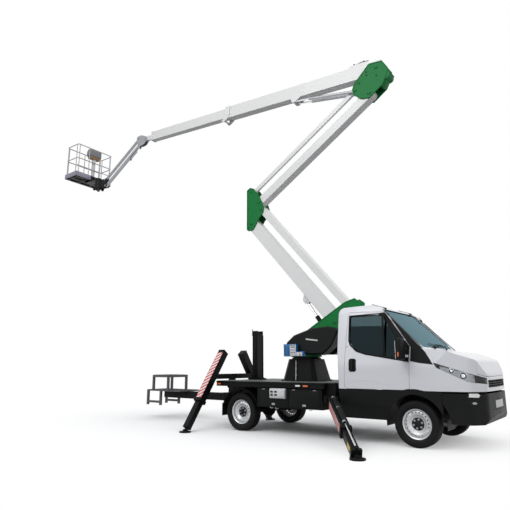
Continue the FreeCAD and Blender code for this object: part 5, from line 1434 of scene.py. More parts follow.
    def step_trim(self) -> None:
        """Black beam under the rear step, with its gussets, and the slotted treads on its frames."""
        beam = Shape()
        beam.block(at(-5.45, 0, 0.5475), (2.24, 0.13, 0.162), 0.006)
        beam.block(at(-4.33, 0, 0.58), (0.066, 0.87, 0.168), 0.006)
        for side in BOTH:
            gusset = [
                at(-4.36, side * 0.064, 0.62), at(-4.36, side * 0.30, 0.62), at(-4.85, side * 0.064, 0.62)]
            beam.prism(gusset, UP * 0.01, 0.002)
            for z in (0.535, 0.63):
                beam.bolt(at(-4.363, side * 0.36, z), -AHEAD, 0.011, 0.008)
        hand_over(beam, "step_beam", [CHASSIS_BLACK], "truck")
        tread = Shape()
        for x0, x1, z, half in ((-6.905, -5.775, 0.65, 0.325), (-6.725, -6.175, 1.0, 0.325)):
            tread.block(at((x0 + x1) / 2, 0, z + 0.004), (x1 - x0, half * 2, 0.008), 0.002)
            for k in range(int((x1 - x0) / 0.07)):
                tread.block(at(x0 + 0.05 + k * 0.07, 0, z + 0.0095), (0.022, half * 1.8, 0.004), 0.001)
        hand_over(tread, "step_treads", [STEP_GREY], "truck")


# Outriggers


@dataclass
class Leg:
    """One outrigger leg in space.

    Attributes:
        word: Its place, such as rear_right.
        start: Its upper end.
        end: The middle of its pad.
        face: Direction that its striped face looks to.
        outer: Length of its outer tube.
        carrier: Body of the outer tube.
        foot: Body of the inner tube.
        clamp: Distance of the foot's clamp plates from its pad.
    """

    word: str
    start: Vector
    end: Vector
    face: Vector
    outer: float
    carrier: str
    foot: str
    clamp: float
    half: float = 0.075
    stripe_edge: float = 0.008
    stripe_lift: float = 0.0004
    stripe_walls: Pair = (0.0012, 0.0009)
    stripe_margin: float = 0.002
    pitch: float = 0.085
    bar: float = 0.042
    lean: float = 0.09
    collar_back: float = 0.03
    collar_length: float = 0.07
    collar_wall: float = 0.014
    collar_bolts: float = 0.045
    pad_disc: Outline = (
        (0.0, 0.024), (0.05, 0.024), (0.056, 0.028), (0.062, 0.024), (0.084, 0.0235), (0.09, 0.027),
        (0.096, 0.0235), (0.108, 0.023), (0.1105, 0.018), (0.1105, 0.003), (0.108, 0.0005), (0.0, 0.0005))
    boot: Outline = (
        (0.034, 0.02), (0.052, 0.024), (0.046, 0.032), (0.054, 0.038), (0.044, 0.046), (0.050, 0.052),
        (0.036, 0.06), (0.034, 0.05))
    clamp_size: Triple = (0.03, 0.118, 0.008)
    clamp_out: float = 0.059
    mark_span: Pair = (0.36, 0.19)
    mark_half: float = 0.04
    mark_out: float = 0.0586
    mark_wall: float = 0.0003
    rod_span: Pair = (0.96, 1.665)
    rod_radius: float = 0.0133
    rod_off: float = 0.026
    glands: Sequence[Triple] = ((0.125, 0.028, 0.03), (0.50, 0.027, 0.02), (0.955, 0.029, 0.04))
    gland_bore: float = 0.0237
    gland_round: Pair = (0.002, 0.004)

    def __post_init__(self) -> None:
        """Works out the leg's own directions and length."""
        self.length = (self.end - self.start).length
        self.way = (self.end - self.start).normalized()
        self.face = (self.face - self.way * self.face.dot(self.way)).normalized()
        self.wide = self.way.cross(self.face)
        self.turn = axes(self.way, self.face)

    def spot(self, down: float, wide: float, out: float) -> Vector:
        """Point at a distance down the leg, across its striped face and out from its middle."""
        return self.start + self.way * down + self.wide * wide + self.face * out

    def stripes(self, first: float, last: float) -> None:
        """Red and white bars on the outer face of the outer tube.

        Args:
            first: Where they start along the leg.
            last: Where they end.
        """
        shape = Shape()
        edge = self.half - self.stripe_edge
        base = self.half + self.stripe_lift
        white, red = self.stripe_walls
        corners = ((first, -edge), (last, -edge), (last, edge), (first, edge))
        shape.prism([self.spot(s, w, base) for s, w in corners], self.face * white, 0.0003)
        shape.paint = 1
        start = first - self.lean
        while start < last:
            end = start + self.bar
            corners = [(start, -edge), (end, -edge), (end + self.lean, edge), (start + self.lean, edge)]
            cut = clipped(corners, first + self.stripe_margin, last - self.stripe_margin)
            if len(cut) > 2:
                shape.prism([self.spot(s, w, base + white) for s, w in cut], self.face * red)
            start += self.pitch
        hand_over(shape, f"stripes_{self.word}", [STRIPE_WHITE, STRIPE_RED], self.carrier)

    def collar(self) -> None:
        """Open collar at the outer tube's mouth, with its bolts."""
        shape = Shape()
        middle = self.outer - self.collar_back
        wall, full = self.collar_wall, self.half * 2
        for k in BOTH:
            off, skin = k * (self.half + wall / 2), k * (self.half + wall)
            shape.block(self.spot(middle, 0, off), (self.collar_length, full + 0.03, wall), turn=self.turn)
            shape.block(self.spot(middle, off, 0), (self.collar_length, wall, full), turn=self.turn)
            for w in (-self.collar_bolts, self.collar_bolts):
                shape.bolt(self.spot(middle, w, skin), self.face * k, 0.008, 0.006)
                shape.bolt(self.spot(middle, skin, w), self.wide * k, 0.008, 0.006)
        hand_over(shape, f"collar_{self.word}", [SUPPORT_BLACK], self.carrier)

    def pad(self, marked: bool) -> None:
        """Ribbed pad, its ball joint's rubber boot, and the yellow mark on the inner tube.

        Args:
            marked: Whether the inner tube carries a yellow mark.
        """
        shape = Shape()
        foot = Vector((self.end.x, self.end.y, 0))
        shape.lathe(self.pad_disc, foot, UP, 48)
        shape.lathe(self.boot, foot, UP, 32)
        clamp = self.length - self.clamp
        for k in BOTH:
            shape.block(self.spot(clamp, 0, k * self.clamp_out), self.clamp_size, 0.002, self.turn)
            shape.bolt(self.spot(clamp, 0, k * (self.clamp_out + self.clamp_size[2] / 2)), self.face * k)
        if marked:
            shape.paint = 1
            (high, low), half = self.mark_span, self.mark_half
            corners = ((high, -half), (low, -half), (low, half), (high, half))
            mark = [self.spot(self.length - d, w, self.mark_out) for d, w in corners]
            shape.prism(mark, self.face * self.mark_wall)
        hand_over(shape, f"pad_{self.word}", [SUPPORT_BLACK, MARK_YELLOW], self.foot)

    def ram(self, word: str) -> None:
        """Chrome rod of the ram on top of the leg, with its glands.

        Args:
            word: Side of the truck.
        """
        lift = self.wide if self.wide.z > 0 else -self.wide
        root = self.start + lift * (self.half + self.rod_off)
        rod = Shape()
        rod.rod(*(root + self.way * place for place in self.rod_span), self.rod_radius, bevel=0.001)
        hand_over(rod, f"leg_rod_{word}", [CHROME], self.foot)
        shape = Shape()
        swell, fall = self.gland_round
        for place, radius, length in self.glands:
            rise = [(self.gland_bore, 0.0), (radius, 0.0), (radius + swell, fall)]
            section = rise + [(r, length - s) for r, s in reversed(rise)]
            shape.lathe(section, root + self.way * place, self.way, 32)
        hand_over(shape, f"leg_ram_{word}", [STEEL], self.carrier)

    def cap(self, word: str) -> None:
        """Bolted cap on the leg's top, and two bolts in its back.

        Args:
            word: Side of the truck.
        """
        shape = Shape()
        shape.block(self.spot(-0.008, 0, 0), (0.018, 0.158, 0.158), 0.004, self.turn)
        for w in (-0.05, 0.05):
            for out in (-0.05, 0.05):
                shape.bolt(self.spot(-0.017, w, out), -self.way, 0.007, 0.005)
            shape.bolt(self.spot(0.12, w, -self.half - 0.0005), -self.face, 0.007, 0.005)
        hand_over(shape, f"leg_cap_{word}", [SUPPORT_BLACK], "truck")


def clipped(corners: Outline, low: float, high: float) -> Outline:
    """Outline cut to a span of its first coordinate.

    Args:
        corners: The outline.
        low: Start of the span.
        high: End of the span.

    Returns:
        What is left of it.
    """
    for bound, sign in ((low, 1), (high, -1)):
        kept = []
        for p, q in zip(corners, [corners[-1], *corners] if corners else []):
            if (p[0] - bound) * (q[0] - bound) < 0:
                share = (bound - q[0]) / (p[0] - q[0])
                kept.append((bound, q[1] + (p[1] - q[1]) * share))
            if (p[0] - bound) * sign >= 0:
                kept.append(p)
        corners = kept
    return corners


@dataclass
class Outrigger:
    """Stripes, collars, pads and chrome rods of the two legs on one side."""

    side: int
    word: str
    pad_z: float = 0.022
    rear_x: float = -4.13
    rear_top: float = 1.5
    rear_run: float = 1.07
    rear_pads: Pair = (1.77, 1.02)
    rear_lean: float = 0.7
    rear_outer: float = 1.204
    rear_clamp: float = 0.075
    rear_stripes: Pair = (0.06, 1.13)
    front_start: Triple = (-1.4, 1.05, 0.66)
    front_end: Pair = (-0.34, 2.34)
    front_face: Pair = (-0.773, 0.635)
    front_outer: float = 1.108
    front_clamp: float = 0.17
    front_stripes: Pair = (0.20, 1.04)

    def build(self) -> None:
        """Dresses the rear and the front leg."""
        side, word = self.side, self.word
        pad_y = self.rear_pads[0] if side is RIGHT else self.rear_pads[1]
        start = beside(side, self.rear_x, pad_y - self.rear_run, self.rear_top)
        end = beside(side, self.rear_x, pad_y, self.pad_z)
        face = Vector((0, side, self.rear_lean))
        rear = Leg(
            f"rear_{word}", start, end, face, self.rear_outer, "truck", f"rear_foot_{word}", self.rear_clamp)
        rear.stripes(*self.rear_stripes)
        rear.collar()
        rear.pad(False)
        rear.cap(word)
        start, end = beside(side, *self.front_start), beside(side, *self.front_end, self.pad_z)
        face = Vector((self.front_face[0], side * self.front_face[1], 0))
        front = Leg(
            f"front_{word}", start, end, face, self.front_outer, f"front_leg_{word}", f"front_foot_{word}",
            self.front_clamp)
        front.stripes(*self.front_stripes)
        front.collar()
        front.pad(True)
        front.ram(word)


@dataclass
class ControlStation:
    """Blue and pale control box on the turret's right side."""

    face_y: float = -0.472
    parts: Sequence[tuple[int, Triple, Triple, float]] = (
        (0, (-2.605, -0.42, 1.524), (0.29, 0.098, 0.236), 0.014),
        (0, (-2.385, -0.42, 1.452), (0.19, 0.096, 0.092), 0.01),
        (0, (-2.605, -0.42, 1.638), (0.296, 0.1, 0.014), 0.005),
        (1, (-2.528, -0.469, 1.523), (0.135, 0.008, 0.216), 0.003),
        (1, (-2.385, -0.469, 1.447), (0.135, 0.008, 0.066), 0.003),
        (2, (-2.528, -0.472, 1.608), (0.11, 0.004, 0.018), 0.001),
        (2, (-2.528, -0.472, 1.575), (0.08, 0.004, 0.012), 0.001),
        (3, (-2.71, -0.4685, 1.52), (0.01, 0.006, 0.17), 0.002),
        (3, (-2.64, -0.4685, 1.52), (0.01, 0.006, 0.17), 0.002))
    switch_columns: Sequence[float] = (-2.566, -2.528, -2.49)
    switch_rows: Sequence[float] = (1.53, 1.48)
    stop_place: Triple = (-2.36, -0.473, 1.447)
    stop: Outline = (
        (0.0, -0.016), (0.012, -0.016), (0.015, -0.012), (0.012, -0.006), (0.009, 0.0), (0.0, 0.0))

    def build(self) -> None:
        """Builds the box in place of the plain CAD one, with its switches and stop button."""
        shape = Shape()
        for shape.paint, centre, size, bevel in self.parts:
            shape.block(at(*centre), size, bevel)
        shape.paint = 2
        for x in self.switch_columns:
            for z in self.switch_rows:
                spot = at(x, self.face_y, z)
                shape.rod(spot, spot - ACROSS * 0.006, 0.009, sides=16, bevel=0.001)
                tip = spot - ACROSS * 0.016 + UP * 0.004
                shape.rod(spot - ACROSS * 0.005, tip, 0.0035, sides=10, bevel=0.0008)
        shape.paint = 4
        shape.lathe(self.stop, at(*self.stop_place), ACROSS, 24)
        finishes = [PANEL_BLUE, PANEL_PALE, HUB_DARK, SUPPORT_BLACK, LAMP_RED]
        hand_over(shape, "control_station", finishes, "slewing_turret", ["control_box"])


@dataclass
class MastTrim:
    """Pin caps, plate rims, brackets, wedge and small cylinders of the mast."""

    plate: float = 0.12
    boom_pin: Pair = (-0.621, 7.222)
    boom_angle: float = 4.5
    jib_angle: float = -32.0
    jib_pin: Pair = (-8.119, 7.681)

    def build(self) -> None:
        """Builds every piece of the mast's trim."""
        big, small = 0.03, 0.02
        self.pins(
            "turret_pins", "slewing_turret", self.plate,
            ((-1.77, 2.07, big), (-1.5, 2.37, small), (-1.93, 1.78, small)), ())
        self.pins(
            "lower_knuckle_pins", "lower_knuckle", self.plate,
            ((-3.83, 4.44, big), (-3.56, 4.74, small), (-3.62, 4.92, big), (-3.83, 5.22, small)),
            ((-3.923, 5.25), (-3.905, 4.34), (-3.93, 4.8)))
        self.pins(
            "upper_knuckle_pins", "upper_knuckle", self.plate,
            ((-0.801, 6.702, big), (-1.011, 7.002, small), (-0.621, 7.222, big), (-1.101, 6.862, small)),
            ((-0.83, 7.18), (-0.83, 7.11), (-0.62, 7.02)))
        self.pins(
            "tip_pins", "tip_head", 0.058,
            ((-7.849, 7.791, small), (-8.119, 7.681, small), (-8.155, 7.888, small)), ())
        self.pins("jib_end_pins", "jib_head", 0.058, ((-9.645, 6.727, small), (-9.681, 6.934, small)), ())
        self.rims()
        self.boom_trim()
        self.collars()
        self.jib_ram()
        self.rotator()
        self.cover()

    def pins(self, name: str, body: str, half: float, places: Sequence, dots: Sequence) -> None:
        """Caps on the ends of the pins, with their keeper plates and bolts.

        Args:
            name: Name of the piece.
            body: Body that it rides on.
            half: Distance of the plates' outer faces from the middle plane.
            places: Side-view place and radius of each pin.
            dots: Side-view places of plain bolts.
        """
        shape = Shape()
        for side in BOTH:
            out = ACROSS * side
            for x, z, radius in places:
                shape.paint = 0
                spot = at(x, side * half, z)
                rim = radius + 0.014
                shape.lathe(
                    [
                        (0.0, 0.010), (radius * 0.5, 0.010), (radius * 0.55, 0.0075), (rim - 0.004, 0.0075),
                        (rim, 0.004), (rim, 0.0), (0.0, 0.0)],
                    spot, out, 32)
                shape.block(
                    spot + Vector((0, side * 0.0095, -rim * 0.55)), (rim * 1.5, 0.004, rim * 0.5), 0.001)
                shape.paint = 1
                for k in BOTH:
                    shape.bolt(
                        spot + Vector(
                            (k * rim * 0.48, side * 0.0115, -rim * 0.55)), out, radius * 0.18, 0.004)
            shape.paint = 1
            for x, z in dots:
                shape.bolt(at(x, side * half, z), out, 0.011, 0.007)
        paint = MAST_GREEN if half > 0.1 else STEEL
        hand_over(shape, name, [paint, HUB_DARK], body)

    def rims(self) -> None:
        """Raised rims along the edges of the green plates."""
        turret = [
            (-1.7, 1.78), (-1.35, 2.231), (-1.235, 2.3), (-1.225, 2.42), (-1.33, 2.5), (-1.541, 2.44),
            (-2.3, 1.99), (-2.68, 1.76)]
        lower = [
            (-3.96, 5.268), (-3.862, 5.321), (-3.754, 5.273), (-3.6, 5.056), (-3.519, 4.897), (-3.47, 4.749),
            (-3.499, 4.643), (-3.622, 4.494), (-3.779, 4.282), (-3.901, 4.261), (-3.96, 4.303)]
        upper = [
            (-1.17, 6.886), (-1.122, 6.746), (-0.978, 6.621), (-0.794, 6.574), (-0.498, 6.777),
            (-0.386, 6.98), (-0.37, 7.12), (-0.482, 7.315), (-0.77, 7.354), (-0.898, 7.229), (-1.122, 7.011)]
        for name, body, line, closed in (
            ("turret_rims", "slewing_turret", turret, False),
            ("lower_knuckle_rims", "lower_knuckle", lower, True),
            ("upper_knuckle_rims", "upper_knuckle", upper, True),
        ):
            shape = Shape()
            middle = sum((level(p) for p in line), Vector()) / len(line)
            for side in BOTH:
                count = len(line) if closed else len(line) - 1
                for i in range(count):
                    a, b = level(line[i]), level(line[(i + 1) % len(line)])
                    inward = (middle - (a + b) / 2)
                    run = (b - a).normalized()
                    inward = (inward - run * inward.dot(run)).normalized()
                    ends = [a + run * 0.01, b - run * 0.01]
                    corners = [
                        ends[0] + inward * 0.004, ends[1] + inward * 0.004, ends[1] + inward * 0.018,
                        ends[0] + inward * 0.018]
                    shape.prism(
                        [c + ACROSS * side * (self.plate - 0.002) for c in corners], ACROSS * side * 0.012,
                        0.002)
            hand_over(shape, name, [MAST_GREEN], body)
        box = Shape()
        for spot, size in (
            (at(-0.50, 0, 6.86), (0.20, 0.205, 0.10)), (at(-0.43, 0, 6.985), (0.16, 0.232, 0.16)),
        ):
            box.block(spot, size, 0.014, Matrix.Rotation(math.radians(-52), 4, "Y"))
        hand_over(box, "knuckle_boxes", [MAST_GREEN], "upper_knuckle")

    def _boom(self, along_boom: float, height: float, y: float = 0.0) -> Vector:
        """Point of the boom at a distance along it, over its middle line."""
        way = along(self.boom_angle)
        return level(self.boom_pin, y) + way * along_boom + over(way) * height

    def boom_trim(self) -> None:
        """Raised wedge at the boom's root, its dark brackets, and the plates at its mouth."""
        shape = Shape()
        wedge = [(0.79, 0.146), (0.575, 0.218), (0.24, 0.222), (0.16, 0.146)]
        shape.prism([self._boom(s, h, -0.082) for s, h in wedge], ACROSS * 0.164, 0.004)
        for side in BOTH:
            plate = [
                (3.92, 0.158), (4.07, 0.158), (4.075, -0.12), (4.17, -0.19), (4.155, -0.235), (4.10, -0.25),
                (4.05, -0.232), (3.95, -0.155)]
            shape.prism([self._boom(s, h, side * 0.113) for s, h in plate], ACROSS * side * 0.01, 0.002)
            for s, h in ((3.97, 0.11), (3.97, -0.10), (4.03, 0.11)):
                shape.bolt(self._boom(s, h, side * 0.123), ACROSS * side, 0.009, 0.006)
        shape.rod(
            self._boom(4.11, -0.205, -0.124), self._boom(4.11, -0.205, 0.124), 0.02, sides=24, bevel=0.003)
        hand_over(shape, "boom_wedge", [MAST_WHITE], "boom")
        dark = Shape()
        turn = Matrix.Rotation(math.radians(self.boom_angle), 4, "Y")
        dark.block(self._boom(0.42, 0.232), (0.16, 0.09, 0.02), 0.004, turn)
        dark.block(self._boom(0.30, 0.245), (0.05, 0.12, 0.045), 0.006, turn)
        dark.rod(self._boom(0.52, 0.24, -0.06), self._boom(0.52, 0.24, 0.06), 0.02, sides=24, bevel=0.003)
        dark.piped(
            [self._boom(0.48, 0.245, -0.03), self._boom(0.36, 0.27, -0.03), self._boom(0.2, 0.25, -0.03)],
            0.008, 0.04)
        hand_over(dark, "boom_brackets", [HUB_DARK], "boom")

    def collars(self) -> None:
        """Welded collar at the extension's tip, and bearing pads at the boom's mouth."""
        turn = Matrix.Rotation(math.radians(self.boom_angle), 4, "Y")
        for name, body, place, length, half_y, half_z, paint, slot in (
            ("tip_collar", "boom_extension", 6.915, 0.05, 0.086, 0.13, MAST_WHITE, "arm_white"),
            ("mouth_pads", "boom", 4.056, 0.014, 0.104, 0.148, HUB_DARK, "chassis_black"),
        ):
            shape = Shape()
            for k in BOTH:
                shape.block(self._boom(place, k * half_z), (length, half_y * 2 + 0.01, 0.014), 0.003, turn)
                shape.block(
                    self._boom(place, 0, k * half_y), (length, 0.014, half_z * 2 - 0.016), 0.003, turn)
            hand_over(shape, name, [paint], body)

    def _jib(self, along_jib: float, height: float, y: float = 0.0) -> Vector:
        """Point of the jib at a distance along it, over its middle line."""
        way = along(self.jib_angle)
        return level(self.jib_pin, y) + way * along_jib + over(way) * height

    def jib_ram(self) -> None:
        """Short cylinder under the jib, with its lug, and end bosses on the bars."""
        shape = Shape()
        line = -0.074
        shape.rod(self._jib(0.20, line), self._jib(0.50, line), 0.027, sides=28, bevel=0.003)
        shape.paint = 1
        shape.rod(self._jib(0.06, line), self._jib(0.21, line), 0.014, sides=20)
        shape.paint = 0
        for s in (0.055, 0.55):
            for k in BOTH:
                lug = [
                    self._jib(s - 0.05, -0.035, k * 0.026), self._jib(s + 0.05, -0.035, k * 0.026),
                    self._jib(
                        s + 0.022, line - 0.03, k * 0.026), self._jib(s - 0.022, line - 0.03, k * 0.026)]
                shape.prism(lug, ACROSS * k * 0.008, 0.002)
            shape.rod(self._jib(s, line, -0.042), self._jib(s, line, 0.042), 0.013, sides=20, bevel=0.002)
        shape.rod(self._jib(0.49, line), self._jib(0.555, line), 0.019, sides=24, bevel=0.003)
        for k in BOTH:
            for s in (0.0, 1.8):
                boss = [(0.021, 0.0), (0.038, 0.0), (0.040, 0.002), (0.040, 0.009), (0.021, 0.009)]
                shape.lathe(boss, self._jib(s, 0, k * 0.035), ACROSS * k, 32)
        hand_over(shape, "jib_cylinder", [STEEL, CHROME], "jib")

    def rotator(self) -> None:
        """Dark motor and two round hose guides under the basket's rotator."""
        shape = Shape()
        for x, z, radius in ((-10.16, 6.735, 0.06), (-9.94, 6.70, 0.055)):
            ring = [
                (radius * 0.55, -0.016), (radius, -0.018), (radius + 0.006, -0.01), (radius + 0.006, 0.01),
                (radius, 0.018), (radius * 0.55, 0.016)]
            for y in (-0.075, 0.075):
                shape.lathe(ring, at(x, y, z), ACROSS, 36)
            shape.rod(at(x, -0.095, z), at(x, 0.095, z), radius * 0.5, sides=24, bevel=0.004)
        drum = [
            (0.0, 0.0), (0.05, 0.0), (0.062, 0.01), (0.062, 0.05), (0.083, 0.055), (0.083, 0.07), (0.0, 0.07)]
        shape.lathe(drum, at(-10.079, 0, 6.668), UP, 40)
        for i in range(8):
            shape.bolt(on_circle(at(-10.079, 0, 6.724), 0.072, math.tau * i / 8), -UP, 0.006, 0.004)
        hand_over(shape, "rotator_motor", [HUB_DARK], "jib_head")

    def cover(self) -> None:
        """Bare plate, pressed ribs and screws on the turret's black pods."""
        shape = Shape()
        for side in BOTH:
            face = side * 0.37
            for points in (
                ((-2.70, 1.53), (-2.02, 1.53), (-2.035, 1.548), (-2.70, 1.548)),
                (
                    (-2.66, 1.70), (-2.36, 1.84), (-2.10, 1.905), (-2.11, 1.918), (-2.37, 1.853),
                    (-2.67, 1.713)),
            ):
                shape.prism([at(x, face, z) for x, z in points], ACROSS * side * 0.005, 0.0015)
            for x, z in (
                (-2.71, 1.47), (-2.3, 1.47), (-1.99, 1.49), (-1.80, 1.80), (-2.0, 1.92), (-2.71, 1.62),
            ):
                shape.rod(at(x, face, z), at(x, face + side * 0.004, z), 0.012, sides=20, bevel=0.001)
        hand_over(shape, "cover_ribs", [COVER_BLACK], "slewing_turret")
        plate = Shape()
        for side in BOTH:
            outline = [(-2.285, 1.722), (-2.02, 1.690), (-2.018, 1.716), (-2.283, 1.750)]
            plate.prism([at(x, side * 0.370, z) for x, z in outline], ACROSS * side * 0.004, 0.0012)
        hand_over(plate, "cover_plates", [PLATE_BARE], "slewing_turret")


@dataclass
class WorkBasket:
    """Basket of round rails over a folded toe board, with its console, post and arm."""

    far: float = -10.969
    near: float = -10.349
    half: float = 0.65
    bottom: float = 7.061
    top: float = 8.151
    tube: float = 0.016
    post_x: float = -10.43

    def build(self) -> None:
        """Builds the basket in place of the plain CAD one."""
        self.cage()
        self.tray()
        self.console()

    def cage(self) -> None:
        """Rails and posts."""
        shape = Shape()
        r = self.tube
        x0, x1, y = self.far + r + 0.002, self.near - r - 0.002, self.half - r - 0.002
        for z in (self.top - r, self.bottom + 0.61):
            shape.piped([at(x0, -y, z), at(x1, -y, z), at(x1, y, z), at(x0, y, z)], r, 0.07, True)
        low = self.bottom + 0.36
        shape.piped([at(x1, -y, low), at(x1, y, low)], r * 0.8)
        for px, py in (
            (x0, -y + 0.06), (x0, 0.0), (x0, y - 0.06), (x1, -y + 0.06), (x1, -0.21), (x1, 0.21),
            (x1, y - 0.06), (x0 + 0.06, -y), (x1 - 0.06, -y), (x0 + 0.06, y), (x1 - 0.06, y),
        ):
            shape.rod(at(px, py, self.bottom + 0.04), at(px, py, self.top - r), r * 0.85, sides=16)
        for px in (x0, x1):
            for py in (-y + 0.06, y - 0.06):
                shape.block(at(px, py, self.bottom + 0.16), (0.034, 0.05, 0.008), 0.002)
        hand_over(shape, "basket_rails", [BASKET_GREY], "basket", ["basket"])

    def tray(self) -> None:
        """Folded toe boards, ribbed floor, dark underframe and the arm to the rotator."""
        board = Shape()
        middle_x, depth = (self.far + self.near) / 2, self.near - self.far
        for k in BOTH:
            board.block(
                at(middle_x + k * (depth / 2 - 0.004), 0, self.bottom + 0.075),
                (0.006, self.half * 2 - 0.002, 0.15), 0.0015)
            board.block(
                at(middle_x, k * (self.half - 0.004), self.bottom + 0.075), (depth - 0.002, 0.006, 0.15),
                0.0015)
            board.block(
                at(middle_x + k * (depth / 2 - 0.014), 0, self.bottom + 0.148),
                (0.026, self.half * 2 - 0.004, 0.005), 0.0012)
            board.block(
                at(middle_x, k * (self.half - 0.014), self.bottom + 0.148), (depth - 0.004, 0.026, 0.005),
                0.0012)
        hand_over(board, "toe_boards", [BASKET_LILAC], "basket")
        floor = Shape()
        floor.block(
            at(middle_x, 0, self.bottom + 0.03), (depth - 0.014, self.half * 2 - 0.014, 0.006), 0.0015)
        for k in range(-8, 9):
            floor.block(at(middle_x, k * 0.073, self.bottom + 0.0345), (depth - 0.06, 0.018, 0.004), 0.0012)
        floor.paint = 1
        floor.block(
            at(middle_x, 0, self.bottom + 0.0255), (depth - 0.02, self.half * 2 - 0.02, 0.003), 0.0008)
        for px in (self.far + 0.05, middle_x, self.near - 0.05):
            floor.block(at(px, 0, self.bottom + 0.013), (0.05, self.half * 2 - 0.02, 0.024), 0.003)
        for py in (-0.55, -0.2, 0.2, 0.55):
            floor.block(at(middle_x, py, self.bottom + 0.013), (depth - 0.03, 0.05, 0.022), 0.003)
        arm = [
            (self.near - 0.31, -0.11), (-10.079, -0.11), (-10.01, -0.085), (-9.975, 0.0), (-10.01, 0.085),
            (-10.079, 0.11), (self.near - 0.31, 0.11)]
        floor.prism([at(x, y, self.bottom - 0.039) for x, y in arm], UP * 0.038, 0.004)
        for k in BOTH:
            rib = [
                at(-10.1, k * 0.10, self.bottom), at(-10.14, k * 0.10, self.bottom + 0.03),
                at(self.near + 0.02, k * 0.10, self.bottom + 0.14),
                at(self.near + 0.002, k * 0.10, self.bottom + 0.14),
                at(self.near + 0.002, k * 0.10, self.bottom)]
            floor.prism(rib, ACROSS * k * 0.008, 0.002)
        for i in range(6):
            spot = on_circle(at(-10.079, 0, self.bottom - 0.001), 0.06, math.tau * i / 6)
            floor.bolt(spot, UP, 0.009, 0.006)
        hand_over(floor, "basket_floor", [BASKET_GREY, HUB_DARK], "basket")

    def console(self) -> None:
        """Sloping control console with its tan lower box, levers and pale post."""
        shape = Shape()
        z = self.top - 0.26
        x = self.post_x
        profile = [(-0.11, 0.0), (0.10, 0.0), (0.10, 0.19), (0.07, 0.238), (-0.03, 0.238), (-0.11, 0.16)]
        shape.prism([at(x + px, -0.21, z + pz) for px, pz in profile], ACROSS * 0.42, 0.012)
        shape.paint = 1
        shape.prism([
            at(x + px, -0.18, z + pz)
            for px, pz in ((-0.09, 0.004), (0.085, 0.004), (0.065, -0.085), (-0.065, -0.085))
        ], ACROSS * 0.36, 0.01)
        shape.paint = 2
        shape.block(at(x, 0, self.bottom + 0.44), (0.088, 0.088, 0.80), 0.008)
        shape.block(at(x, 0, self.bottom + 0.045), (0.14, 0.16, 0.014), 0.003)
        for k in BOTH:
            for j in BOTH:
                shape.bolt(at(x + k * 0.056, j * 0.065, self.bottom + 0.052), UP, 0.008, 0.006)
        shape.paint = 3
        for y in (-0.12, -0.04, 0.04):
            base = at(x - 0.068, y, z + 0.196)
            tip = base + Vector((-0.03, 0, 0.04))
            shape.rod(base - Vector((-0.006, 0, 0.008)), base + Vector((-0.006, 0, 0.008)), 0.016, 0.010, 16)
            shape.rod(base, tip, 0.004, sides=10)
            shape.lathe([
                (0.0, 0.012), (0.006, 0.011), (0.0095, 0.004), (0.008, -0.004), (0.0, -0.006),
            ], tip, Vector((-0.6, 0, 0.8)), 16)
        shape.block(at(x + 0.02, 0.12, z + 0.239), (0.05, 0.05, 0.004), 0.001)
        hand_over(
            shape, "basket_console", [CONSOLE_GREY, CONSOLE_TAN, PANEL_PALE, HUB_DARK], "basket")


# Studio


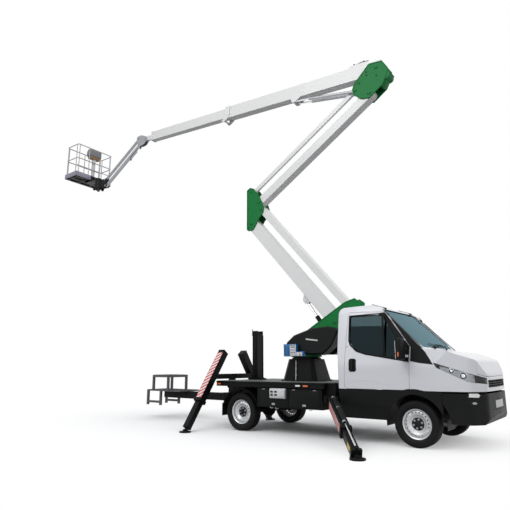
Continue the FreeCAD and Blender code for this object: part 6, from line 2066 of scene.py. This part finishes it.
@dataclass
class Studio:
    """Pale floor, soft light and the camera at the photograph's angle."""

    eye: Triple = (2.72728, -8.71148, 1.23366)
    yaw: float = 126.898
    pitch: float = 12.803
    lens: float = 34.28
    sensor: float = 36.0
    view_depth: float = 200.0
    floor_radius: float = 60.0
    floor_seen: Triple = (0.93, 0.93, 0.93)
    floor_bounce: Triple = (0.16, 0.16, 0.165)
    fade_shift: Triple = (-0.75, 0, 0)
    fade_scale: Triple = (0.62, 1, 1)
    fade_span: Pair = (1.6, 3.7)
    sky: Triple = (0.96, 0.98, 1.0)
    sky_span: Pair = (-0.1, 0.9)
    sky_strength: Pair = (0.42, 0.95)
    lamps: Sequence[tuple[str, Triple, Triple, float, float]] = (
        ("key", (-3.0, -10.0, 10.0), (-2.0, 0.0, 2.5), 8.0, 620.0),
        ("front fill", (9.0, -6.0, 6.0), (-1.0, 0.0, 2.0), 7.0, 190.0))

    def build(self) -> None:
        """Builds the camera, the floor, the world and the lamps."""
        self.camera()
        self.floor()
        self.world()
        for name, spot, aim, size, power in self.lamps:
            self.lamp(name, at(*spot), at(*aim), size, power)

    def camera(self) -> None:
        """Camera at the photograph's place, turn and angle of view."""
        data = bpy.data.cameras.new("camera")
        data.lens = self.lens
        data.sensor_width = self.sensor
        data.clip_end = self.view_depth
        camera = bpy.data.objects.new("camera", data)
        camera.location = at(*self.eye)
        camera.rotation_euler = (math.radians(90 + self.pitch), 0, math.radians(self.yaw - 90))
        bpy.context.scene.collection.objects.link(camera)
        bpy.context.scene.camera = camera

    def floor(self) -> None:
        """Wide floor whose far part shows plain white to the camera and in gloss."""
        bm = bmesh.new()
        bmesh.ops.create_circle(bm, cap_ends=True, segments=96, radius=self.floor_radius)
        mesh = bpy.data.meshes.new("floor")
        bm.to_mesh(mesh)
        bm.free()
        floor = bpy.data.objects.new("floor", mesh)
        bpy.context.scene.collection.objects.link(floor)
        mesh.materials.append(self.floor_material())

    def floor_material(self) -> bpy.types.Material:
        """Matt floor that is pale to the eye, dark to bounced light, and white far from the truck.

        Returns:
            The material.
        """
        made = bpy.data.materials.new("studio floor")
        made.use_nodes = True
        net = Net(made.node_tree)
        shader = made.node_tree.nodes["Principled BSDF"]
        path = net.add("LightPath")
        paint = net.add("Mix", data_type="RGBA")
        seen, bounce = (*self.floor_seen, 1), (*self.floor_bounce, 1)
        net.fill(paint, {"A": seen, "B": bounce, "Factor": path.outputs["Is Diffuse Ray"]})
        net.fill(shader, {"Base Color": paint.outputs["Result"],
                 "Roughness": 0.9, "Specular IOR Level": 0.1})
        place = net.add("TexCoord").outputs["Object"]
        shift = net.add("Mapping", {"Location": self.fade_shift, "Scale": self.fade_scale, "Vector": place})
        reach = net.add("VectorMath", {0: shift.outputs["Vector"]}, operation="LENGTH")
        near, far = self.fade_span
        span = {"From Min": near, "From Max": far, "Value": reach.outputs["Value"]}
        fade = net.add("MapRange", interpolation_type="SMOOTHSTEP")
        net.fill(fade, span)
        plain = net.add("Math", operation="MULTIPLY")
        net.fill(plain, {0: fade.outputs["Result"], 1: self._white_rays(net)})
        white = net.add("Emission").outputs["Emission"]
        mix = net.add("MixShader", {"Fac": plain.outputs["Value"], 1: shader.outputs["BSDF"], 2: white})
        net.fill(made.node_tree.nodes["Material Output"], {"Surface": mix.outputs["Shader"]})
        return made

    @staticmethod
    def _white_rays(net: Net) -> bpy.types.NodeSocket:
        """Finds the rays that see the studio as plain white.

        Args:
            net: Node tree that the nodes go to.

        Returns:
            Socket that is 1 for camera, glossy and transmission rays.
        """
        path = net.add("LightPath")
        total = path.outputs["Is Camera Ray"]
        for ray in ("Is Glossy Ray", "Is Transmission Ray"):
            total = net.add("Math", {0: total, 1: path.outputs[ray]}, operation="MAXIMUM").outputs["Value"]
        return total

    def world(self) -> None:
        """White backdrop, and a soft even light that is a little stronger from above."""
        world = bpy.data.worlds.new("studio")
        world.use_nodes = True
        bpy.context.scene.world = world
        net = Net(world.node_tree)
        even = world.node_tree.nodes["Background"]
        place = net.add("TexCoord").outputs["Generated"]
        height = net.add("SeparateXYZ", {"Vector": place}).outputs["Z"]
        low, high = self.sky_span
        dim, bright = self.sky_strength
        climb = net.add("MapRange", {
            "From Min": low, "From Max": high, "To Min": dim, "To Max": bright, "Value": height})
        net.fill(even, {"Color": (*self.sky, 1), "Strength": climb.outputs["Result"]})
        white = net.add("Background", {"Color": (1, 1, 1, 1), "Strength": 1.0})
        mix = net.add("MixShader")
        net.fill(
            mix,
            {"Fac": self._white_rays(net),
             1: even.outputs["Background"],
             2: white.outputs["Background"]})
        net.fill(world.node_tree.nodes["World Output"], {"Surface": mix.outputs["Shader"]})

    @staticmethod
    def lamp(name: str, spot: Vector, aim: Vector, size: float, power: float) -> None:
        """Adds a large soft lamp.

        Args:
            name: Its name.
            spot: Where it hangs.
            aim: What it points at.
            size: Its side.
            power: Its power in watts.
        """
        data = bpy.data.lights.new(name, "AREA")
        data.size = size
        data.energy = power
        lamp = bpy.data.objects.new(name, data)
        lamp.location = spot
        lamp.rotation_mode = "QUATERNION"
        lamp.rotation_quaternion = (aim - spot).to_track_quat("-Z", "Y")
        bpy.context.scene.collection.objects.link(lamp)


def dress_nodes() -> None:
    """Gives every CAD node its finish."""
    for name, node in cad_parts.items():
        finish = NODE_FINISHES.get(name, CHASSIS_BLACK)
        node.data.materials.clear()
        node.data.materials.append(finish.material())


def main() -> None:
    """Builds the studio and every sub-assembly of the truck in order."""
    logging.basicConfig(level=logging.INFO, format="%(name)s %(message)s")
    bpy.context.scene.view_settings.view_transform = "Standard"
    dress_nodes()
    Studio().build()
    CabTrim().build()
    for side, word in SIDES:
        Wheel(f"front_{word}", side, 0.0).build()
        Wheel(f"rear_{word}", side, REAR_AXLE_X).build()
    SeatSet().build()
    DeckTrim().build()
    for side, word in SIDES:
        Outrigger(side, word).build()
    ControlStation().build()
    MastTrim().build()
    WorkBasket().build()


if __name__ == "__main__":
    main()
